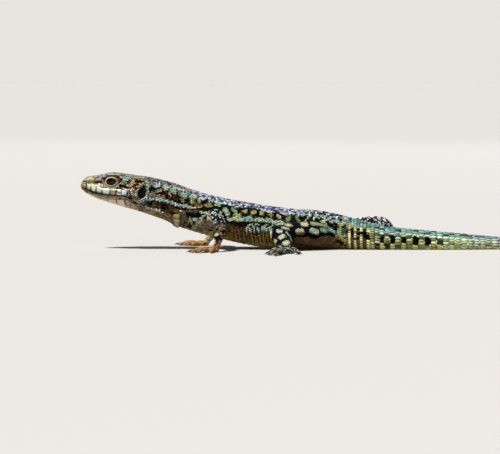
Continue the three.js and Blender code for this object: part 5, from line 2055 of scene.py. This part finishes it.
def lay_lid_granules():
    fields = []
    for side in (LEFT, RIGHT):
        for ring, (outwards, count) in enumerate(LID_RINGS):
            around = (np.arange(count) + 0.5 * (ring % 2)) / count * 2 * math.pi
            here = lid_point(side, around, np.full(count, outwards))
            out = lid_point(side, around, np.full(count, outwards + 0.04)) - here
            on = lid_point(side, around + 0.05, np.full(count, outwards)) - here
            normal = np.cross(out, on)
            normal *= np.sign(normal[:, 1] * side)[:, None]
            normal /= np.linalg.norm(normal, axis=1)[:, None]
            out /= np.linalg.norm(out, axis=1)[:, None]
            gap = np.linalg.norm(on, axis=1) / 0.05 * 2 * math.pi / count
            size = np.full((count, 3), (0.085 if ring else 0.065, 0, 0.06))
            size[:, 1] = gap * 0.5
            chart = np.c_[around, np.full(count, outwards + side)]
            paint, lay = undercoat(here, UPPER_LID[ring])
            below = fade(0.15 + 0.3 * np.cos(around) - np.sin(around), 0, 0.4)
            lay(below, LOWER_LID[ring])
            patch = fray(here, 0.5, 24)
            lay(fade(patch, 0.0, 0.25) * (ring > 2) * (0.6 - 0.4 * below), "tan")
            lay(fade(-patch, 0.05, 0.25) * (ring > 2) * (0.7 - 0.5 * below), "umber")
            fields.append({
                "root": here, "normal": normal, "along": out, "size": size, "chart": chart,
                "paint": paint,
            })
    lay_scales("granules_lids", BEAD, join_fields(fields), 44, vary=0.08)


lay_lid_granules()

# %% [markdown]
# ## Eardrums and claws
# The eardrum is a thin membrane, sunk in its opening, and painted dark, partly its own colour and
# partly painted shade of the pit. It is a ball pressed flat, with a hollow in its middle. A claw is
# a cone that curves down to the floor, narrower than it is high. It is a tube with a radius that
# shrinks to the point, as the digits are, so one helper makes both.

# %% Eardrums
DRUM_HALF, DRUM_THICK, DRUM_HOLLOW = (0.86, 1.32), 0.1, 0.11


def make_eardrum(side):
    middle = node_middle("eardrum_" + SIDES[side])
    bm = bmesh.new()
    bmesh.ops.create_uvsphere(bm, u_segments=32, v_segments=16, radius=1)
    for vert in bm.verts:
        hollow = DRUM_HOLLOW * max(0, 1 - vert.co.x**2 - vert.co.y**2)
        vert.co.z = vert.co.z * DRUM_THICK - hollow
    bmesh.ops.scale(bm, verts=bm.verts, vec=(*DRUM_HALF, 1))
    for turn, axis in ((math.pi / 2, "X"), (EAR["lean"], "Y")):
        matrix = Matrix.Rotation(turn, 3, axis)
        bmesh.ops.rotate(bm, verts=bm.verts, cent=(0, 0, 0), matrix=matrix)
    points, faces = arrays(bm)
    points = points * [1, -side, 1] + middle
    # the drum is painted nearly black: partly its own dark colour and partly painted shade of its pit
    colours, lay = undercoat(points, "drum")
    lay(fade(middle[0] - 0.1 - points[:, 0], 0, 0.5), "drum_edge")
    piece = new_mesh("drum_" + SIDES[side], points, faces, colours, np.zeros(len(points)))
    outward(piece)
    return piece


DRUMS = {side: make_eardrum(side) for side in SIDES}
print("an eardrum has", len(DRUMS[LEFT].data.polygons), "faces")

# %% Claws
CLAW_LONG, CLAW_ROOT, CLAW_POINT = 1.05, 0.25, 0.05
CLAW_GRID = (14, 12)


def claw_radius(share):
    return CLAW_ROOT * (1 - share) ** 0.8 + CLAW_POINT * 0.5


def make_claw(limb, number):
    line, way = limb["digit_lines"][number]
    root = line[-1] + way * -0.12
    root[2] = line[-1][2] + 0.08
    arch = root + way * CLAW_LONG * 0.75
    arch[2] += 0.2
    tip = root + way * (CLAW_LONG + 0.25)
    tip[2] = CLAW_POINT + 0.03
    curve = bent(root, arch, tip, 20)
    bm = bmesh.new()
    tube(bm, *CLAW_GRID, round_line(curve, claw_radius, 0.7))
    bmesh.ops.recalc_face_normals(bm, faces=bm.faces)
    points, faces = arrays(bm)
    colours, lay = undercoat(points, "horn")
    lay((points - root) @ way / (CLAW_LONG + 0.1), "horn_tip")
    name = f"{limb['name']}_{number + 1}"
    piece = new_mesh("horn_" + name, points, faces, colours, np.zeros(len(points)))
    return piece, "claw_" + name


CLAWS = [make_claw(limb, number) for limb in LIMBS for number in range(5)]
print("claws:", len(CLAWS))

# %% [markdown]
# ## The finish of skin and scales
# Lizard scales are dry horn: dull, with a weak sheen, and darker at the rim, partly as a dark seam
# and partly as painted shade where they dip under the next one.
# Each point carries its paint and how near a rim it lies, so the material only reads these two and
# adds a fine mottle and grain. An image for each piece could do the same, but would blur at the
# rims. The nodes are written as sums, because a sum is easier to read than a list of links.

# %% Shader expressions
class Link:
    """A socket in an expression: the usual signs add Math nodes."""

    def __init__(self, tree, socket):
        self.tree, self.socket = tree, socket

    def math(self, operation, other, swapped=False):
        pair = [other, self] if swapped else [self, other]
        return node(self.tree, "ShaderNodeMath", {"operation": operation}, dict(enumerate(pair)))

    def __add__(self, other):
        return self.math("ADD", other)

    def __mul__(self, other):
        return self.math("MULTIPLY", other)

    def __sub__(self, other):
        return self.math("SUBTRACT", other)

    def __rsub__(self, other):
        return self.math("SUBTRACT", other, True)

    __radd__ = __add__
    __rmul__ = __mul__


def node(tree, kind, settings=None, values=None, output=0):
    """A node with its settings, and then its inputs, which are numbers or links."""
    made = tree.nodes.new(kind)
    for key, value in (settings or {}).items():
        setattr(made, key, value)
    for key, value in (values or {}).items():
        if isinstance(value, Link):
            tree.links.new(value.socket, made.inputs[key])
        else:
            made.inputs[key].default_value = value
    return Link(tree, made.outputs[output])


def material(name, **constants):
    made = bpy.data.materials.new(name)
    made.use_nodes = True
    shader = made.node_tree.nodes["Principled BSDF"]
    for key, value in constants.items():
        shader.inputs[key.replace("_", " ")].default_value = value
    return made.node_tree, shader, made


def feed(tree, shader, **links):
    for key, link in links.items():
        tree.links.new(link.socket, shader.inputs[key.replace("_", " ")])


def attribute(tree, name, output):
    return node(tree, "ShaderNodeAttribute", {"attribute_name": name}, output=output)


# %% Dry horn
GRAIN_SCALE, MOTTLE_SCALE, GRAIN_HIGH = 9000.0, 1500.0, 0.00004


def speckle(tree, spot_at, scale, detail):
    values = {"Vector": spot_at, "Scale": scale, "Detail": detail}
    return node(tree, "ShaderNodeTexNoise", {}, values)


def scaly(name, rim_shade, rough, bump):
    tree, shader, made = material(name, IOR=1.45, Specular_IOR_Level=0.03)
    spot_at = node(tree, "ShaderNodeTexCoord", output="Object")
    paint = attribute(tree, "paint", "Color")
    rim = attribute(tree, "rim", "Fac")
    grain = speckle(tree, spot_at, GRAIN_SCALE, 3.0)
    broad = speckle(tree, spot_at, MOTTLE_SCALE, 2.0)
    shade = (1 - rim * rim_shade) * (0.82 + 0.36 * broad)
    dark = node(tree, "ShaderNodeCombineColor", {}, {0: shade, 1: shade, 2: shade})
    colour = node(
        tree, "ShaderNodeMix", {"data_type": "RGBA", "blend_type": "MULTIPLY"},
        {"Factor": 1.0, 6: paint, 7: dark}, output=2,
    )
    relief = {"Strength": bump, "Distance": GRAIN_HIGH, "Height": grain}
    height = node(tree, "ShaderNodeBump", {}, relief)
    feed(tree, shader, Base_Color=colour, Roughness=rough + 0.2 * broad, Normal=height)
    return made


SCALE_FINISH = scaly("scales", 0.55, 0.32, 0.25)
SKIN_FINISH = scaly("bare_skin", 0.0, 0.5, 0.4)
print("nodes in a scale's finish:", len(SCALE_FINISH.node_tree.nodes))

# %% [markdown]
# ## Dress the skin and its coat
# Every piece gets its finish and a slot, and rides on the one body. The skin stands for all the
# solids of flesh at once, because a real skin has no joins. Between the scales it lies in their
# shade, so its paint is darkened.

# %% Skin, scales and lids
SHADED = 0.22
skin_faces = [polygon.vertices[:] for polygon in skin_mesh.polygons]
no_rim = np.zeros(len(skin_points))
skin = new_mesh("skin", skin_points, skin_faces, skin_colours * SHADED, no_rim)
skin.data.materials.append(SKIN_FINISH)
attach(skin, "root")
flesh = [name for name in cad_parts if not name.startswith(("eye_", "eardrum_", "claw_"))]
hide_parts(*flesh)
for piece in COATS + LIDS:
    piece.data.materials.append(SCALE_FINISH)
    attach(piece, "root")
print("the skin stands for", len(flesh), "solids and carries", len(COATS + LIDS), "pieces")

# %% [markdown]
# ## Dress the eyes, eardrums and claws
# These are smooth, so their paint is read without grain. They differ only in gloss: the eye is wet,
# the claw is polished by use, and the drum is dull. Each takes the place of one solid.

# %% Eyes, eardrums and claws
def plain_paint(name, **constants):
    tree, shader, made = material(name, **constants)
    feed(tree, shader, Base_Color=attribute(tree, "paint", "Color"))
    return made


EYE_FINISH = plain_paint("eye", Roughness=0.09, Specular_IOR_Level=0.3, IOR=1.4)
DRUM_FINISH = plain_paint("eardrum", Roughness=0.7, Specular_IOR_Level=0.1)
CLAW_FINISH = plain_paint("claw_horn", Roughness=0.3)
for side, name in SIDES.items():
    for piece, node_name, slot, finish in (
        (EYEBALLS[side], f"eye_{name}", "eye", EYE_FINISH),
        (DRUMS[side], f"eardrum_{name}", "eardrum", DRUM_FINISH),
    ):
        piece.data.materials.append(finish)
        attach(piece, "root")
        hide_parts(node_name)
for piece, node_name in CLAWS:
    piece.data.materials.append(CLAW_FINISH)
    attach(piece, "root")
    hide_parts(node_name)
print("small pieces:", len(EYEBALLS) + len(DRUMS) + len(CLAWS))

# %% [markdown]
# ## Floor, light and camera
# Hard sun from high in front shows fine scales best, because each throws a small shadow. One broad
# lamp fills the shade from the front, and another rims the back. A room of image light would be
# softer and flatten the coat. A long lens from the left side keeps the lizard's true proportions.

# %% Floor and room
FLOOR_GREY = (0.44, 0.44, 0.44)
HAZE, DIM_ROOM = (0.80, 0.77, 0.73, 1), (0.075, 0.077, 0.08, 1)
HAZE_TO, DIM_FROM = 0.05, 0.2


def stage_plane(name, size, colour):
    bm = bmesh.new()
    bmesh.ops.create_grid(bm, x_segments=1, y_segments=1, size=size)
    mesh = bpy.data.meshes.new(name)
    bm.to_mesh(mesh)
    bm.free()
    plane = bpy.data.objects.new(name, mesh)
    bpy.context.scene.collection.objects.link(plane)
    tree, shader, made = material(
        name, Base_Color=(*colour, 1), Roughness=0.9, Specular_IOR_Level=0.0
    )
    mesh.materials.append(made)


stage_plane("floor", 30.0, FLOOR_GREY)
world = bpy.data.worlds.new("studio")
world.use_nodes = True
room = world.node_tree
way = node(room, "ShaderNodeTexCoord", output="Generated")
height = node(room, "ShaderNodeSeparateXYZ", {}, {0: way}, output=2)
shade = node(room, "ShaderNodeMapRange", {"clamp": True}, {0: height, 1: HAZE_TO, 2: DIM_FROM})
backdrop = node(
    room, "ShaderNodeMix", {"data_type": "RGBA"}, {0: shade, 6: HAZE, 7: DIM_ROOM}, output=2
)
room.links.new(backdrop.socket, room.nodes["Background"].inputs[0])
bpy.context.scene.world = world
print("the room has", len(room.nodes), "nodes")

# %% Lamps
LAMPS = [
    # name, kind, place, what it shines at, spread in degrees or size in metres, power, colour
    ("key", "SUN", (-0.3, -0.27, 0.65), (-0.04, 0, 0), 9.5, 6.3, (1.0, 0.96, 0.9)),
    ("fill", "AREA", (0.3, -0.7, 0.3), (-0.04, 0, 0), 0.6, 1.0, (0.9, 0.95, 1.0)),
    ("rear", "AREA", (0.1, 0.8, 0.6), (-0.02, 0, 0), 0.9, 1.2, (0.9, 0.95, 1.0)),
]


def light(name, kind, place_at, aim, size, power, colour):
    data = bpy.data.lights.new(name, kind)
    data.energy, data.color = power, colour
    if kind == "SUN":
        data.angle = math.radians(size)
    else:
        data.size = size
    lamp = bpy.data.objects.new(name, data)
    lamp.location = place_at
    lamp.rotation_euler = (Vector(aim) - Vector(place_at)).to_track_quat("-Z", "Y").to_euler()
    bpy.context.scene.collection.objects.link(lamp)


for lamp in LAMPS:
    light(*lamp)
print("lamps:", len(LAMPS))

# %% Camera
CAMERA_ELEVATION, CAMERA_DISTANCE = math.radians(3), 0.6
CAMERA_AIM = [37.07, 0, 4.8]
LENS, SENSOR = 198.7, 36
aim = Vector(placed(CAMERA_AIM))
camera_data = bpy.data.cameras.new("camera")
camera_data.lens, camera_data.sensor_width = LENS, SENSOR
camera = bpy.data.objects.new("camera", camera_data)
away = Vector((0, -math.cos(CAMERA_ELEVATION), math.sin(CAMERA_ELEVATION)))
camera.location = aim + away * CAMERA_DISTANCE
camera.rotation_euler = (-away).to_track_quat("-Z", "Y").to_euler()
bpy.context.scene.collection.objects.link(camera)
bpy.context.scene.camera = camera
bpy.context.scene.view_settings.view_transform = "Standard"
print("the camera stands at", [round(value, 3) for value in camera.location])
